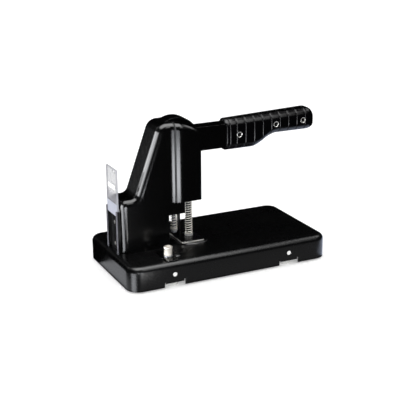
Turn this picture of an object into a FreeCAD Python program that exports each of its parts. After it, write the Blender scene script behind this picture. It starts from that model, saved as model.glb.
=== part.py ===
import FreeCAD, Part
import math
import os

V = FreeCAD.Vector
X = V(1, 0, 0)
Y = V(0, 1, 0)

# Driving dimensions in millimetres. +X runs along the lever to the grip, +Z is up, and the paper
# gauge is on the -Y side. Places along X are counted from a line 140 mm in front of the base's
# rear edge. Every finished piece is then moved so that the origin lies on the table, under the
# middle of the machine's whole length and width.

# Base pan, pressed from one sheet and open underneath
base_length = 280.0
base_rear = -140.0
base_width = 150.0
base_corner = 17.0
base_edge = 7.0
base_wall = 1.6
pan_height = 31.0
bolt_clearance = 0.25
screw_clearance = 0.2
screw_slot_width = 1.0
screw_slot_depth = 1.0
foot_drop = 2.0
notch_from_middle = 81.0
notch_width = 28.0
notch_height = 4.8
slit_width = 1.5
slit_height = 7.5
tab_depth = 22.0
plug_radius = 3.0
plug_rise = 17.4
plug_flange = 1.8
plug_grip = 1.4
plug_sink = 0.2
boss_radius = 27.0
boss_height = 1.3
stiffener_length = 118.0
stiffener_width = 84.0
stiffener_wall = 3.0
stiffener_mid_x = -66.0
stiffener_corner = 4.0

# Feet and their screws
foot_radius = 9.0
foot_edge = 1.0
foot_screw_tail = 1.0
foot_inset = 14.0
foot_screw_radius = 2.0
foot_head_radius = 4.0
foot_head_height = 2.2
foot_recess_radius = 5.0
foot_recess_depth = 3.4
foot_nut_radius = 3.6
foot_nut_height = 3.0

# Tower casing, one moulding over the frame
casing_rear = -129.0
casing_front = -20.0
casing_wall = 2.0
rear_half_width = 22.0
front_half_width = 26.5
joggle_start = -62.0
joggle_hollow = 13.0
joggle_round = 17.0
crease_width = 1.8
crease_depth = 0.8
shoulder_rise = 69.5
shoulder_round = 8.5
shoulder_hollow = 9.0
slope_foot = -108.1
slope_angle = 69.9
crown_rise = 161.0
crown_round = 15.0
crown_flat_end = -58.0
brow_radius = 60.0
side_round = 8.0
front_round = 3.0
window_edge = -64.6
window_rise = 58.4
window_corner = 6.0
slot_half_width = 11.0
slot_rear = -68.0
slot_rise = 116.0
slot_corner = 4.0
lug_length = 11.0
lug_width = 9.0
lug_height = 13.0
casing_screw_radius = 2.0
casing_head_radius = 4.0
casing_head_height = 2.5
casing_screw_gap = 1.0
casing_screw_wall = 3.0

# Steel frame inside the casing
frame_inner = 13.0
frame_wall = 3.0
frame_rear = -112.0
frame_low_front = -67.0
frame_high_front = -24.0
frame_crown_front = -38.0
frame_brow_drop = 16.0
frame_shoulder_rise = 59.0
frame_crown_rise = 153.0
frame_gap = 4.3
frame_flange = 11.0
frame_flange_margin = 7.0
frame_inner_corner = 4.0
frame_corner = 6.0
frame_brow_corner = 8.0
frame_small_corner = 3.0
frame_bolt_x = (-102.0, -78.0)
frame_bolt_y = 8.0
frame_bolt_radius = 2.5
frame_bolt_head = 4.6
frame_bolt_head_height = 3.2
frame_nut_radius = 4.6
frame_nut_height = 4.0
frame_bolt_tail = 1.0
spacer_places = ((-104.0, 35.0), (-76.0, 31.0), (-84.0, 95.0))
spacer_radius = 5.5
tie_radius = 3.0
tie_head_radius = 5.0
tie_head_height = 3.4

# Lever, its shaft and its pinion
pivot_x = -47.0
pivot_rise = 135.0
shaft_radius = 6.0
shaft_half_length = 19.0
running_gap = 0.05
bush_wall = 2.0
bush_flange_radius = 11.0
bush_flange_height = 2.0
clip_radius = 8.6
clip_height = 1.2
clip_gap = 0.4
clip_opening = 4.4
clip_groove_depth = 1.0
clip_play = 0.02
cheek_half_width = 10.0
cheek_wall = 2.0
head_radius = 30.0
arm_top = 13.7
arm_bottom = 17.3
arm_end_gap = 10.4
arm_taper_start = 60.0
arm_taper_end = 94.0
arm_thin_bottom = 5.0
arm_taper_round = 6.0
arm_end_round = 3.0
arm_top_round = 2.0
web_overlap = 0.5
head_web_end = 150.0
gear_module = 1.5
gear_teeth = 16
gear_angle = 20.0
gear_backlash = 0.5
gear_tip_cut = 0.1
gear_root_depth = 1.25 * gear_module
gear_half_width = 6.0
key_size = 3.0
lever_swing = 72.0

# Grip halves
grip_start = 23.0
grip_end = 153.4
grip_half_width = 12.5
grip_end_half_width = 14.5
grip_round = 11.0
grip_top_start = 154.2
grip_top_end = 158.0
grip_low_start = 112.7
grip_low_end = 127.7
grip_step_start = 60.0
grip_step_end = 97.0
grip_nose = 12.0
grip_nose_low_share = 0.45
grip_nose_side_share = 0.65
grip_nose_round = 1.5
grip_clearance = 0.2
grip_screw_shares = (0.138, 0.548, 0.859)
grip_screw_rises = (133.0, 141.0, 142.0)
grip_screw_radius = 2.0
grip_head_radius = 4.0
grip_head_height = 1.8
grip_head_sink = 0.3
grip_seat_gap = 0.1
grip_socket_radius = 2.0
grip_socket_depth = 1.2
grip_nut_radius = 3.9
grip_nut_height = 1.6
grip_screw_tail = 0.4

# Ram and punch
punch_x = -27.7
ram_front_gap = 0.7
ram_half_width = 6.0
ram_bottom = 61.0
ram_top = 141.0
groove_depth = 2.0
groove_width = 4.0
yoke_gap = 0.3
yoke_height = 6.0
yoke_half_width = 5.0
punch_shank_radius = 4.0
punch_shank_length = 16.0
punch_body_radius = 3.5
cutter_radius = 3.0
cutter_length = 16.0
cutter_bore = 2.3
cutter_edge = 0.05
cutter_edge_height = 1.2
chip_port_radius = 2.6
chip_exit_radius = 2.1
pad_radius = 8.0
pad_inset = 1.0
pad_sink = 0.6
cutter_gap = 0.3
seat_wall = 2.5
seat_floor = 2.2
seat_flange = 4.0
seat_flange_wall = 2.0

# Ram guide and guide block
guide_rise = 64.0
guide_top_rise = 103.0
guide_web_rise = 93.0
guide_front = -23.5
guide_back = -46.0
guide_web_front = -36.8
block_rear = -66.0
block_front = -37.0
block_half_width = 12.0
block_rise = 38.5
block_top_rise = 64.0
block_leg_front = -55.0
block_leg_rise = 92.0
block_corner = 2.0
block_leg_overlap = 2.0
guide_rack_gap = 2.0
guide_rib_gap = 1.0
block_screw_rises = (71.0, 85.0)
guide_screw_rises = (72.0, 96.0)
side_screw_radius = 2.0
side_screw_depth = 6.0
side_screw_gap = 1.0
side_head_radius = 3.6
side_head_height = 2.4

# Presser foot, its guide post and the two springs
foot_plate_rear = -47.5
foot_plate_front = -15.5
foot_plate_half = 24.0
foot_plate_wall = 1.8
foot_plate_gap = 0.3
foot_plate_corner = 4.0
foot_hole_radius = 4.4
post_x = -41.8
post_radius = 2.0
post_top_rise = 55.0
collar_radius = 5.6
collar_height = 2.0
collar_gap = 0.08
foot_travel = 7.0
punch_spring_radius = 4.5
punch_spring_wire = 0.55
punch_spring_turns = 19
buffer_x = -48.7
buffer_radius = 2.5
buffer_head_radius = 4.2
buffer_head_height = 3.0
buffer_tip_rise = 11.0
buffer_nut_height = 3.0
buffer_washer_radius = 4.8
buffer_washer_height = 1.0
buffer_spring_radius = 4.0
buffer_spring_wire = 0.5
buffer_spring_turns = 8
spring_seat = 0.02

# Paper gauge
gauge_x = -81.0
gauge_from_edge = 21.0
gauge_length = 16.0
gauge_near_gap = 4.5
gauge_width = 36.5
gauge_wall = 1.5
gauge_gap = 0.3
gauge_corner = 1.5
gauge_back = -6.0
gauge_forward = 14.0
stud_radius = 2.5
stud_head_radius = 6.0
stud_head_height = 2.0
stud_room = 1.5
stud_top = 8.0
stud_tip_gap = 0.5
gauge_washer_radius = 5.4
gauge_washer_height = 1.0
knob_radius = 5.1
knob_rim_radius = 5.65
knob_rim_height = 2.0
knob_height = 11.0
knob_recess_radius = 3.9
knob_recess_depth = 1.6
slot_clearance = 0.25

# Rear channel and the clear slide in it
channel_half = 17.4
channel_wall = 1.2
channel_depth = 5.0
channel_lip = 2.0
channel_lip_wall = 0.9
channel_rise = 62.0
channel_cut = 6.0
rivet_rises = (9.0, 37.5)
rivet_radius = 1.5
rivet_head_radius = 2.6
rivet_tail_height = 1.4
rivet_tail_overlap = 1.2
slide_half = 17.0
slide_wall = 2.3
slide_gap = 0.3
slide_length = 60.0
slide_rest_rise = 49.0
slide_corner = 1.0
slide_notch_drop = 2.0
slide_notch_width = 9.0
slide_notch_height = 2.4
slide_notch_y = -8.0

# Places that follow from the sizes above
base_middle = base_rear + base_length / 2
machine_middle = (base_rear + grip_end) / 2
base_top = foot_drop + pan_height
base_under = base_top - base_wall
boss_top = base_top + boss_height
pivot_z = base_top + pivot_rise
flange_z = foot_drop
gear_pitch = gear_module * gear_teeth / 2
ram_lift = math.radians(lever_swing) * gear_pitch
rack_line = pivot_x + gear_pitch
rack_tip = rack_line - gear_module
rack_root = rack_line + gear_root_depth
ram_front = casing_front - casing_wall - ram_front_gap
frame_outer = frame_inner + frame_wall
yoke_bottom = base_top + block_top_rise + yoke_gap
pad_top = boss_top - pad_sink
pad_bottom = base_under - stiffener_wall - pad_inset
foot_bottom = boss_top + foot_plate_gap
foot_top = foot_bottom + foot_plate_wall
collar_top = foot_top + collar_height
cutter_tip = pad_top + cutter_gap
arm_end = grip_end - arm_end_gap
gauge_near = gauge_near_gap - base_width / 2
gauge_far = gauge_near + gauge_width
gauge_y = gauge_from_edge - base_width / 2

solids = {}


def keep(name, shape):
    """Store one sub-part under its node name, in its place about the origin."""
    solids[name] = shape.translated(V(-machine_middle, 0, 0))


def box(x0, x1, y0, y1, z0, z1):
    """Block between two corners."""
    return Part.makeBox(x1 - x0, y1 - y0, z1 - z0, V(x0, y0, z0))


def rod(radius, start, end):
    """Round bar from one point to another."""
    run = V(*end) - V(*start)
    return Part.makeCylinder(radius, run.Length, V(*start), run)


def ring(outer, inner, start, end):
    """Tube from one point to another."""
    run = V(*end) - V(*start)
    reach = run.Length * 0.5
    way = V(*end) - V(*start)
    way.normalize()
    bore = Part.makeCylinder(inner, run.Length + 2 * reach, V(*start) - way * reach, way)
    return rod(outer, start, end).cut(bore)


def hexagon(radius, start, end):
    """Hexagonal bar whose corners lie on the radius."""
    axis = V(*end) - V(*start)
    length = axis.Length
    axis.normalize()
    first = X if abs(axis.dot(X)) < 0.9 else Y
    across = axis.cross(first)
    points = []
    for i in range(7):
        turn = math.radians(60 * i)
        points.append(V(*start) + first * (radius * math.cos(turn)) + across * (radius * math.sin(turn)))
    return Part.Face(Part.makePolygon(points)).extrude(axis * length)


def joined(shapes):
    """One solid from overlapping pieces."""
    whole = shapes[0]
    for shape in shapes[1:]:
        whole = whole.fuse(shape)
    return whole.removeSplitter()


def group(shapes):
    """Separate solids kept in one node."""
    return Part.makeCompound(shapes)


def in_xz(a, b):
    return V(a, 0, b)


def in_xy(a, b):
    return V(a, b, 0)


def corner_arc(before, corner, after, radius):
    """Start, middle and end of the arc that rounds one corner."""
    back = (before - corner).normalize()
    on = (after - corner).normalize()
    half = back.getAngle(on) / 2
    reach = radius / math.tan(half)
    middle = corner + (back + on).normalize() * (radius / math.sin(half) - radius)
    return corner + back * reach, middle, corner + on * reach


def outline(corners, plane):
    """Closed wire through (a, b, radius) corners, each rounded by its own radius."""
    points = [plane(a, b) for a, b, radius in corners]
    pieces = []
    for i, corner in enumerate(corners):
        here = points[i]
        if corner[2] > 0:
            pieces.append(corner_arc(points[i - 1], here, points[(i + 1) % len(points)], corner[2]))
        else:
            pieces.append((here, None, here))
    edges = []
    for i, piece in enumerate(pieces):
        if piece[1] is not None:
            edges.append(Part.Arc(*piece).toShape())
        ahead = pieces[(i + 1) % len(pieces)][0]
        if (ahead - piece[2]).Length > 1e-6:
            edges.append(Part.LineSegment(piece[2], ahead).toShape())
    return Part.Wire(edges)


def slab_xz(corners, y0, y1):
    """Plate of one XZ outline between two Y places."""
    plate = Part.Face(outline(corners, in_xz)).extrude(V(0, y1 - y0, 0))
    plate.translate(V(0, y0, 0))
    return plate


def slab_xy(corners, z0, z1):
    """Plate of one XY outline between two heights."""
    plate = Part.Face(outline(corners, in_xy)).extrude(V(0, 0, z1 - z0))
    plate.translate(V(0, 0, z0))
    return plate


def mirrored(shape):
    """The same piece on the far side of the XZ plane."""
    return shape.mirror(V(0, 0, 0), Y)


def rounded_block(length, width, corner, edge, z0, z1):
    """Block about the base's middle with round corners in plan and a rolled top edge."""
    x0 = base_middle - length / 2
    x1 = base_middle + length / 2
    half_y = width / 2
    block = slab_xy([(x0, -half_y, corner), (x1, -half_y, corner), (x1, half_y, corner),
                     (x0, half_y, corner)], z0, z1)
    top = [e for e in block.Edges if e.BoundBox.ZMin > z1 - 1e-3]
    return block.makeFillet(edge, top)


def side_places():
    """The four places along the long flanges where a foot and a plug sit."""
    return [(base_middle + sx * notch_from_middle, sy) for sx in (-1, 1) for sy in (-1, 1)]


# Base pan: pressed sheet with a rolled edge, a raised round boss under the punch, four in-turned
# foot tabs, four plug holes, and holes for the frame, the casing, the cutting pad and the gauge.
def base_pan():
    reach = base_width / 2
    shell = rounded_block(base_length, base_width, base_corner, base_edge, flange_z, base_top)
    shell = shell.fuse(Part.makeCone(boss_radius + boss_height, boss_radius, boss_height,
                                     V(punch_x, 0, base_top)))
    hollow = rounded_block(base_length - 2 * base_wall, base_width - 2 * base_wall,
                           base_corner - base_wall, base_edge - base_wall, flange_z - 1, base_under)
    hollow = hollow.fuse(Part.makeCone(boss_radius + boss_height - base_wall, boss_radius - base_wall,
                                       boss_height, V(punch_x, 0, base_under)))
    pan = shell.cut(hollow)
    half = notch_width / 2
    for x, side in side_places():
        outer = side * reach
        inner = side * (reach - 2 * base_wall)
        low, high = sorted((outer + side, inner))
        pan = pan.cut(box(x - half, x + half, low, high, flange_z - 1, flange_z + notch_height))
        for end in (x - half, x + half - slit_width):
            pan = pan.cut(box(end, end + slit_width, low, high, flange_z - 1, flange_z + slit_height))
        low, high = sorted((outer, side * (reach - tab_depth)))
        tab_z = flange_z + notch_height
        pan = pan.fuse(box(x - half + slit_width, x + half - slit_width, low, high, tab_z, tab_z + base_wall))
        pan = pan.cut(rod(foot_screw_radius + screw_clearance, (x, side * (reach - foot_inset), flange_z),
                          (x, side * (reach - foot_inset), tab_z + 2 * base_wall)))
        pan = pan.cut(rod(plug_radius + running_gap, (x, outer + side, plug_rise), (x, inner, plug_rise)))
    pan = pan.cut(rod(pad_radius + running_gap, (punch_x, 0, flange_z), (punch_x, 0, boss_top + 1)))
    for x, y in frame_bolt_places():
        pan = pan.cut(rod(frame_bolt_radius + bolt_clearance, (x, y, flange_z), (x, y, base_top + 1)))
    for x, y in casing_screw_places():
        pan = pan.cut(rod(casing_screw_radius + bolt_clearance, (x, y, flange_z), (x, y, base_top + 1)))
    return pan.cut(gauge_slot(base_under - 1, base_top + 1)).removeSplitter()


def frame_bolt_places():
    return [(x, side * frame_bolt_y) for x in frame_bolt_x for side in (-1, 1)]


def casing_screw_places():
    x = casing_rear + casing_wall + lug_length / 2
    y = rear_half_width - casing_wall - lug_width / 2
    return [(x, -y), (x, y)]


def gauge_slot(z0, z1):
    """Long hole in which the gauge's stud slides."""
    half = stud_radius + slot_clearance
    x0 = gauge_x + gauge_back
    x1 = gauge_x + gauge_forward
    hole = box(x0, x1, gauge_y - half, gauge_y + half, z0, z1)
    for x in (x0, x1):
        hole = hole.fuse(rod(half, (x, gauge_y, z0), (x, gauge_y, z1)))
    return hole


# Stiffener: flat steel plate under the pan that takes the frame bolts and the pad's seat.
def base_stiffener():
    half = stiffener_width / 2
    x0 = stiffener_mid_x - stiffener_length / 2
    x1 = stiffener_mid_x + stiffener_length / 2
    low = base_under - stiffener_wall
    corner = stiffener_corner
    plate = slab_xy([(x0, -half, corner), (x1, -half, corner), (x1, half, corner), (x0, half, corner)],
                    low, base_under)
    for x, y in frame_bolt_places():
        plate = plate.cut(rod(frame_bolt_radius + bolt_clearance, (x, y, low - 1), (x, y, base_top)))
    for x, y in casing_screw_places():
        plate = plate.cut(rod(casing_screw_radius + bolt_clearance, (x, y, low - 1), (x, y, base_top)))
    room = stud_head_radius + stud_room
    plate = plate.cut(box(gauge_x + gauge_back - room, gauge_x + gauge_forward + room,
                          gauge_y - room, gauge_y + room, low - 1, base_top))
    return plate.cut(rod(pad_radius + running_gap, (punch_x, 0, low - 1), (punch_x, 0, base_top)))


def driver_slot(x, y, radius, face):
    """Slot for a screwdriver across the lower face of a screw's head."""
    half = screw_slot_width / 2
    return box(x - radius, x + radius, y - half, y + half, face - 1, face + screw_slot_depth)


# Feet: soft rubber discs under the tabs, each held by a screw with a sunk head and a nut.
def feet():
    pads = []
    screws = []
    nuts = []
    tab_z = flange_z + notch_height
    for x, side in side_places():
        y = side * (base_width / 2 - foot_inset)
        pad = rod(foot_radius, (x, y, 0), (x, y, tab_z))
        pad = pad.makeFillet(foot_edge, [e for e in pad.Edges if e.BoundBox.ZMax < 0.01])
        pad = pad.cut(rod(foot_recess_radius, (x, y, -1), (x, y, foot_recess_depth)))
        pads.append(pad.cut(rod(foot_screw_radius, (x, y, 0), (x, y, tab_z + 1))))
        head_z = foot_recess_depth - foot_head_height
        nut_top = tab_z + base_wall + foot_nut_height
        head = rod(foot_head_radius, (x, y, head_z), (x, y, foot_recess_depth))
        head = head.cut(driver_slot(x, y, foot_head_radius, head_z))
        shank = rod(foot_screw_radius, (x, y, foot_recess_depth), (x, y, nut_top + foot_screw_tail))
        screws.append(joined([head, shank]))
        nut = hexagon(foot_nut_radius, (x, y, tab_z + base_wall), (x, y, nut_top))
        nuts.append(nut.cut(rod(foot_screw_radius, (x, y, tab_z), (x, y, nut_top + 1))))
    keep("rubber_feet", group(pads))
    keep("foot_screws", group(screws))
    keep("foot_nuts", group(nuts))


# Plugs: white nylon snap plugs that close four holes in the long flanges.
def side_plugs():
    plugs = []
    for x, side in side_places():
        face = side * (base_width / 2 - plug_sink)
        inside = side * (base_width / 2 - base_wall)
        back = side * (base_width / 2 - base_wall - plug_flange)
        plugs.append(joined([rod(plug_radius, (x, face, plug_rise), (x, inside, plug_rise)),
                             rod(plug_radius + plug_grip, (x, inside, plug_rise), (x, back, plug_rise))]))
    return group(plugs)


# Cutting pad: a plastic disc under the cutter, standing in a flanged cup below the stiffener.
def cutting_pad():
    return rod(pad_radius, (punch_x, 0, pad_bottom), (punch_x, 0, pad_top))


def pad_seat():
    under = base_under - stiffener_wall
    cup = rod(pad_radius + seat_wall, (punch_x, 0, pad_bottom - seat_floor), (punch_x, 0, under))
    flange = rod(pad_radius + seat_wall + seat_flange, (punch_x, 0, under - seat_flange_wall),
                 (punch_x, 0, under))
    cup = cup.fuse(flange)
    recess = rod(pad_radius + running_gap, (punch_x, 0, pad_bottom), (punch_x, 0, base_top))
    return cup.cut(recess).removeSplitter()


# Tower casing: one moulding. Its side view and its plan are two outlines whose common body is
# rounded all along the outer edge, hollowed by the same body one wall smaller, then cut for the
# window on both sides and for the lever.
def casing_side(inset, floor):
    rear = casing_rear + inset
    front = casing_front - inset
    shoulder = base_top + shoulder_rise - inset
    crown = base_top + crown_rise - inset
    lean = math.radians(slope_angle)
    shift = inset / math.sin(lean)

    def slope_x(z):
        return slope_foot + shift + (z - base_top - shoulder_rise) / math.tan(lean)

    brow = brow_radius - inset
    brow_z = base_top + crown_rise - brow_radius
    front_z = brow_z + math.sqrt(brow ** 2 - (front - crown_flat_end) ** 2)
    angle = math.atan2(front_z - brow_z, front - crown_flat_end)

    def on_brow(turn):
        return V(crown_flat_end + brow * math.cos(turn), 0, brow_z + brow * math.sin(turn))

    corners = [V(rear, 0, floor), V(rear, 0, shoulder), V(slope_x(shoulder), 0, shoulder),
               V(slope_x(crown), 0, crown), V(crown_flat_end, 0, crown)]
    radii = [shoulder_round - inset, shoulder_hollow + inset, crown_round - inset]
    edges = []
    last = corners[0]
    for i, radius in enumerate(radii):
        first, middle, end = corner_arc(corners[i], corners[i + 1], corners[i + 2], radius)
        edges.append(Part.LineSegment(last, first).toShape())
        edges.append(Part.Arc(first, middle, end).toShape())
        last = end
    edges.append(Part.LineSegment(last, corners[-1]).toShape())
    edges.append(Part.Arc(corners[-1], on_brow((angle + math.pi / 2) / 2), on_brow(angle)).toShape())
    edges.append(Part.LineSegment(on_brow(angle), V(front, 0, floor)).toShape())
    edges.append(Part.LineSegment(V(front, 0, floor), corners[0]).toShape())
    return Part.Wire(edges)


def joggle_turn(radii):
    """Steepest angle of the joggle from the sum of its two radii."""
    return math.acos(1 - (front_half_width - rear_half_width) / radii)


def casing_plan(inset):
    rear = casing_rear + inset
    front = casing_front - inset
    narrow = rear_half_width - inset
    wide = front_half_width - inset
    hollow = joggle_hollow + inset
    round_over = joggle_round - inset
    turn = joggle_turn(hollow + round_over)
    end = joggle_start + (hollow + round_over) * math.sin(turn)
    edges = []
    for side in (-1, 1):

        def on_hollow(angle):
            across = narrow + hollow * (1 - math.cos(angle))
            return V(joggle_start + hollow * math.sin(angle), side * across, 0)

        def on_round(angle):
            across = wide - round_over * (1 - math.cos(angle))
            return V(end - round_over * math.sin(angle), side * across, 0)

        edges.append(Part.LineSegment(V(rear, side * narrow, 0), on_hollow(0)).toShape())
        edges.append(Part.Arc(on_hollow(0), on_hollow(turn / 2), on_hollow(turn)).toShape())
        edges.append(Part.Arc(on_hollow(turn), on_round(turn / 2), on_round(0)).toShape())
        edges.append(Part.LineSegment(on_round(0), V(front, side * wide, 0)).toShape())
    edges.append(Part.LineSegment(V(rear, -narrow, 0), V(rear, narrow, 0)).toShape())
    edges.append(Part.LineSegment(V(front, -wide, 0), V(front, wide, 0)).toShape())
    return Part.Wire(Part.__sortEdges__(edges))


def casing_body(inset, floor):
    reach = 2 * front_half_width
    side = Part.Face(casing_side(inset, floor)).extrude(V(0, 2 * reach, 0))
    side.translate(V(0, -reach, 0))
    plan = Part.Face(casing_plan(inset)).extrude(V(0, 0, 2 * (base_top + crown_rise)))
    body = side.common(plan)
    edge_line = rear_half_width - inset - 0.5

    def at_side(edge):
        return abs(edge.valueAt((edge.FirstParameter + edge.LastParameter) / 2).y) > edge_line

    def upright(edge):
        return edge.BoundBox.XLength < 1e-3 and edge.BoundBox.YLength < 1e-3

    chain = []
    for edge in body.Edges:
        if not at_side(edge) or edge.BoundBox.ZMax < floor + 0.1:
            continue
        if upright(edge) and edge.BoundBox.XMax > casing_rear + inset + 1:
            continue
        if edge.BoundBox.XMin > casing_front - inset - 0.1:
            continue
        chain.append(edge)
    body = body.makeFillet(side_round - inset, chain)
    brow_face = [e for e in body.Edges if e.BoundBox.XMin > casing_front - inset - 0.01
                 and e.BoundBox.ZMax > floor + 0.1]
    body = body.makeFillet(front_round - inset / 2, brow_face)
    return body


def tower_casing():
    shell = casing_body(0, base_top)
    hollow = casing_body(casing_wall, flange_z)
    lugs = []
    for side in (-1, 1):
        low, high = sorted((side * (rear_half_width - casing_wall / 2),
                            side * (rear_half_width - casing_wall - lug_width)))
        x0 = casing_rear + casing_wall / 2
        lugs.append(box(x0, x0 + casing_wall / 2 + lug_length, low, high, base_top, base_top + lug_height))
    casing = shell.cut(hollow).fuse(shell.common(group(lugs))).removeSplitter()
    reach = 2 * front_half_width
    crease_x = joggle_start + joggle_hollow * math.sin(joggle_turn(joggle_hollow + joggle_round))
    crease = box(crease_x - crease_width / 2, crease_x + crease_width / 2, -reach, reach,
                 base_top - 1, base_top + crown_rise + 1)
    casing = casing.cut(crease.cut(casing_body(crease_depth, flange_z)))
    window_top = base_top + window_rise
    casing = casing.cut(slab_xz([(window_edge, base_top - 5, 0), (casing_front + 5, base_top - 5, 0),
                                 (casing_front + 5, window_top, 0), (window_edge, window_top, window_corner)],
                                -reach, reach))
    slot = slab_xy([(slot_rear, -slot_half_width, slot_corner), (casing_front + 5, -slot_half_width, 0),
                    (casing_front + 5, slot_half_width, 0), (slot_rear, slot_half_width, slot_corner)],
                   base_top + slot_rise, base_top + crown_rise + 5)
    casing = casing.cut(slot)
    bore_top = base_top + lug_height - casing_screw_wall
    for x, y in casing_screw_places():
        casing = casing.cut(rod(casing_screw_radius, (x, y, base_top - 1), (x, y, bore_top)))
    for rise in rivet_rises:
        z = base_top + rise
        casing = casing.cut(rod(rivet_radius, (casing_rear - 1, 0, z), (casing_rear + casing_wall + 1, 0, z)))
    return casing


def casing_screws():
    screws = []
    under = base_under - stiffener_wall
    for x, y in casing_screw_places():
        head = rod(casing_head_radius, (x, y, under - casing_head_height), (x, y, under))
        head = head.cut(driver_slot(x, y, casing_head_radius, under - casing_head_height))
        tip = base_top + lug_height - casing_screw_wall - casing_screw_gap
        shank = rod(casing_screw_radius, (x, y, under), (x, y, tip))
        screws.append(joined([head, shank]))
    return group(screws)


# Frame plates: two steel side plates with in-turned foot flanges, bolted through the base.
def frame_plate(side):
    lean = math.tan(math.radians(slope_angle))

    def slope_x(rise):
        return slope_foot + frame_gap + (rise - shoulder_rise) / lean

    shoulder = base_top + frame_shoulder_rise
    crown = base_top + frame_crown_rise
    low_edge = base_top + block_top_rise - block_leg_overlap
    corners = [(frame_rear, base_top, 0), (frame_low_front, base_top, 0),
               (frame_low_front, low_edge, frame_inner_corner),
               (frame_high_front, low_edge, frame_small_corner),
               (frame_high_front, crown - frame_brow_drop, frame_brow_corner),
               (frame_crown_front, crown, frame_corner),
               (slope_x(frame_crown_rise), crown, frame_corner),
               (slope_x(frame_shoulder_rise), shoulder, 0),
               (frame_rear, shoulder, frame_small_corner)]
    plate = slab_xz(corners, frame_inner, frame_outer)
    x0 = frame_bolt_x[0] - frame_flange_margin
    x1 = frame_bolt_x[-1] + frame_flange_margin
    plate = plate.fuse(box(x0, x1, frame_inner - frame_flange, frame_inner, base_top, base_top + frame_wall))
    if side < 0:
        plate = mirrored(plate)
    reach = 2 * frame_outer
    bush_hole = shaft_radius + running_gap + bush_wall
    holes = [rod(bush_hole, (pivot_x, -reach, pivot_z), (pivot_x, reach, pivot_z))]
    for x, rise in spacer_places:
        holes.append(rod(tie_radius, (x, -reach, base_top + rise), (x, reach, base_top + rise)))
    for x, z in side_screw_places():
        holes.append(rod(side_screw_radius, (x, -reach, z), (x, reach, z)))
    for x, y in frame_bolt_places():
        holes.append(rod(frame_bolt_radius + bolt_clearance, (x, y, base_top - 1),
                         (x, y, base_top + frame_wall + 1)))
    return plate.cut(group(holes)).removeSplitter()


def side_screw_places():
    block_x = (block_rear + block_leg_front) / 2
    guide_x = (guide_front + rack_tip + guide_rack_gap) / 2
    return ([(block_x, base_top + rise) for rise in block_screw_rises]
            + [(guide_x, base_top + rise) for rise in guide_screw_rises])


def frame_fixings():
    spacers = []
    ties = []
    nuts = []
    for x, rise in spacer_places:
        z = base_top + rise
        spacers.append(ring(spacer_radius, tie_radius, (x, -frame_inner, z), (x, frame_inner, z)))
        end = frame_outer + tie_head_height
        bolt = [hexagon(tie_head_radius, (x, -end, z), (x, -frame_outer, z)),
                rod(tie_radius, (x, -frame_outer, z), (x, end, z))]
        ties.append(joined(bolt))
        nut = hexagon(tie_head_radius, (x, frame_outer, z), (x, end, z))
        nuts.append(nut.cut(rod(tie_radius, (x, 0, z), (x, end + 1, z))))
    keep("frame_spacers", group(spacers))
    keep("tie_bolts", group(ties))
    keep("tie_nuts", group(nuts))
    bolts = []
    base_nuts = []
    under = base_under - stiffener_wall
    seat = base_top + frame_wall
    for x, y in frame_bolt_places():
        head = hexagon(frame_bolt_head, (x, y, under - frame_bolt_head_height), (x, y, under))
        tip = seat + frame_nut_height + frame_bolt_tail
        bolts.append(joined([head, rod(frame_bolt_radius, (x, y, under), (x, y, tip))]))
        nut = hexagon(frame_nut_radius, (x, y, seat), (x, y, seat + frame_nut_height))
        bore = rod(frame_bolt_radius, (x, y, base_top), (x, y, seat + frame_nut_height + 1))
        base_nuts.append(nut.cut(bore))
    keep("base_bolts", group(bolts))
    keep("base_nuts", group(base_nuts))


def side_screws():
    screws = []
    for x, z in side_screw_places():
        for side in (-1, 1):
            face = side * frame_outer
            head = side * (frame_outer + side_head_height)
            tip = side * (frame_inner - side_screw_depth + side_screw_gap)
            screws.append(joined([rod(side_head_radius, (x, head, z), (x, face, z)),
                                  rod(side_screw_radius, (x, face, z), (x, tip, z))]))
    return group(screws)


# Guide block: black casting between the plates. The presser foot's post and the buffer rod slide
# in it, and the ram's yoke comes down on it.
def guide_block():
    low = base_top + block_rise
    top = base_top + block_top_rise
    half = block_half_width
    slab = slab_xy([(block_rear, -half, block_corner), (block_front, -half, block_corner),
                    (block_front, half, block_corner), (block_rear, half, block_corner)], low, top)
    leg = box(block_rear, block_leg_front, -frame_inner, frame_inner, top - block_leg_overlap,
              base_top + block_leg_rise)
    block = slab.fuse(leg)
    for x, radius in ((post_x, post_radius), (buffer_x, buffer_radius)):
        block = block.cut(rod(radius + running_gap, (x, 0, low - 1), (x, 0, top + 1)))
    for x, z in side_screw_places():
        if x < block_leg_front:
            block = block.cut(screw_bores(x, z))
    return block.removeSplitter()


def screw_bores(x, z):
    """Blind holes from both sides that take the side screws."""
    tip = frame_inner - side_screw_depth
    return group([rod(side_screw_radius, (x, side * tip, z), (x, side * (frame_inner + 1), z))
                  for side in (-1, 1)])


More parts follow.
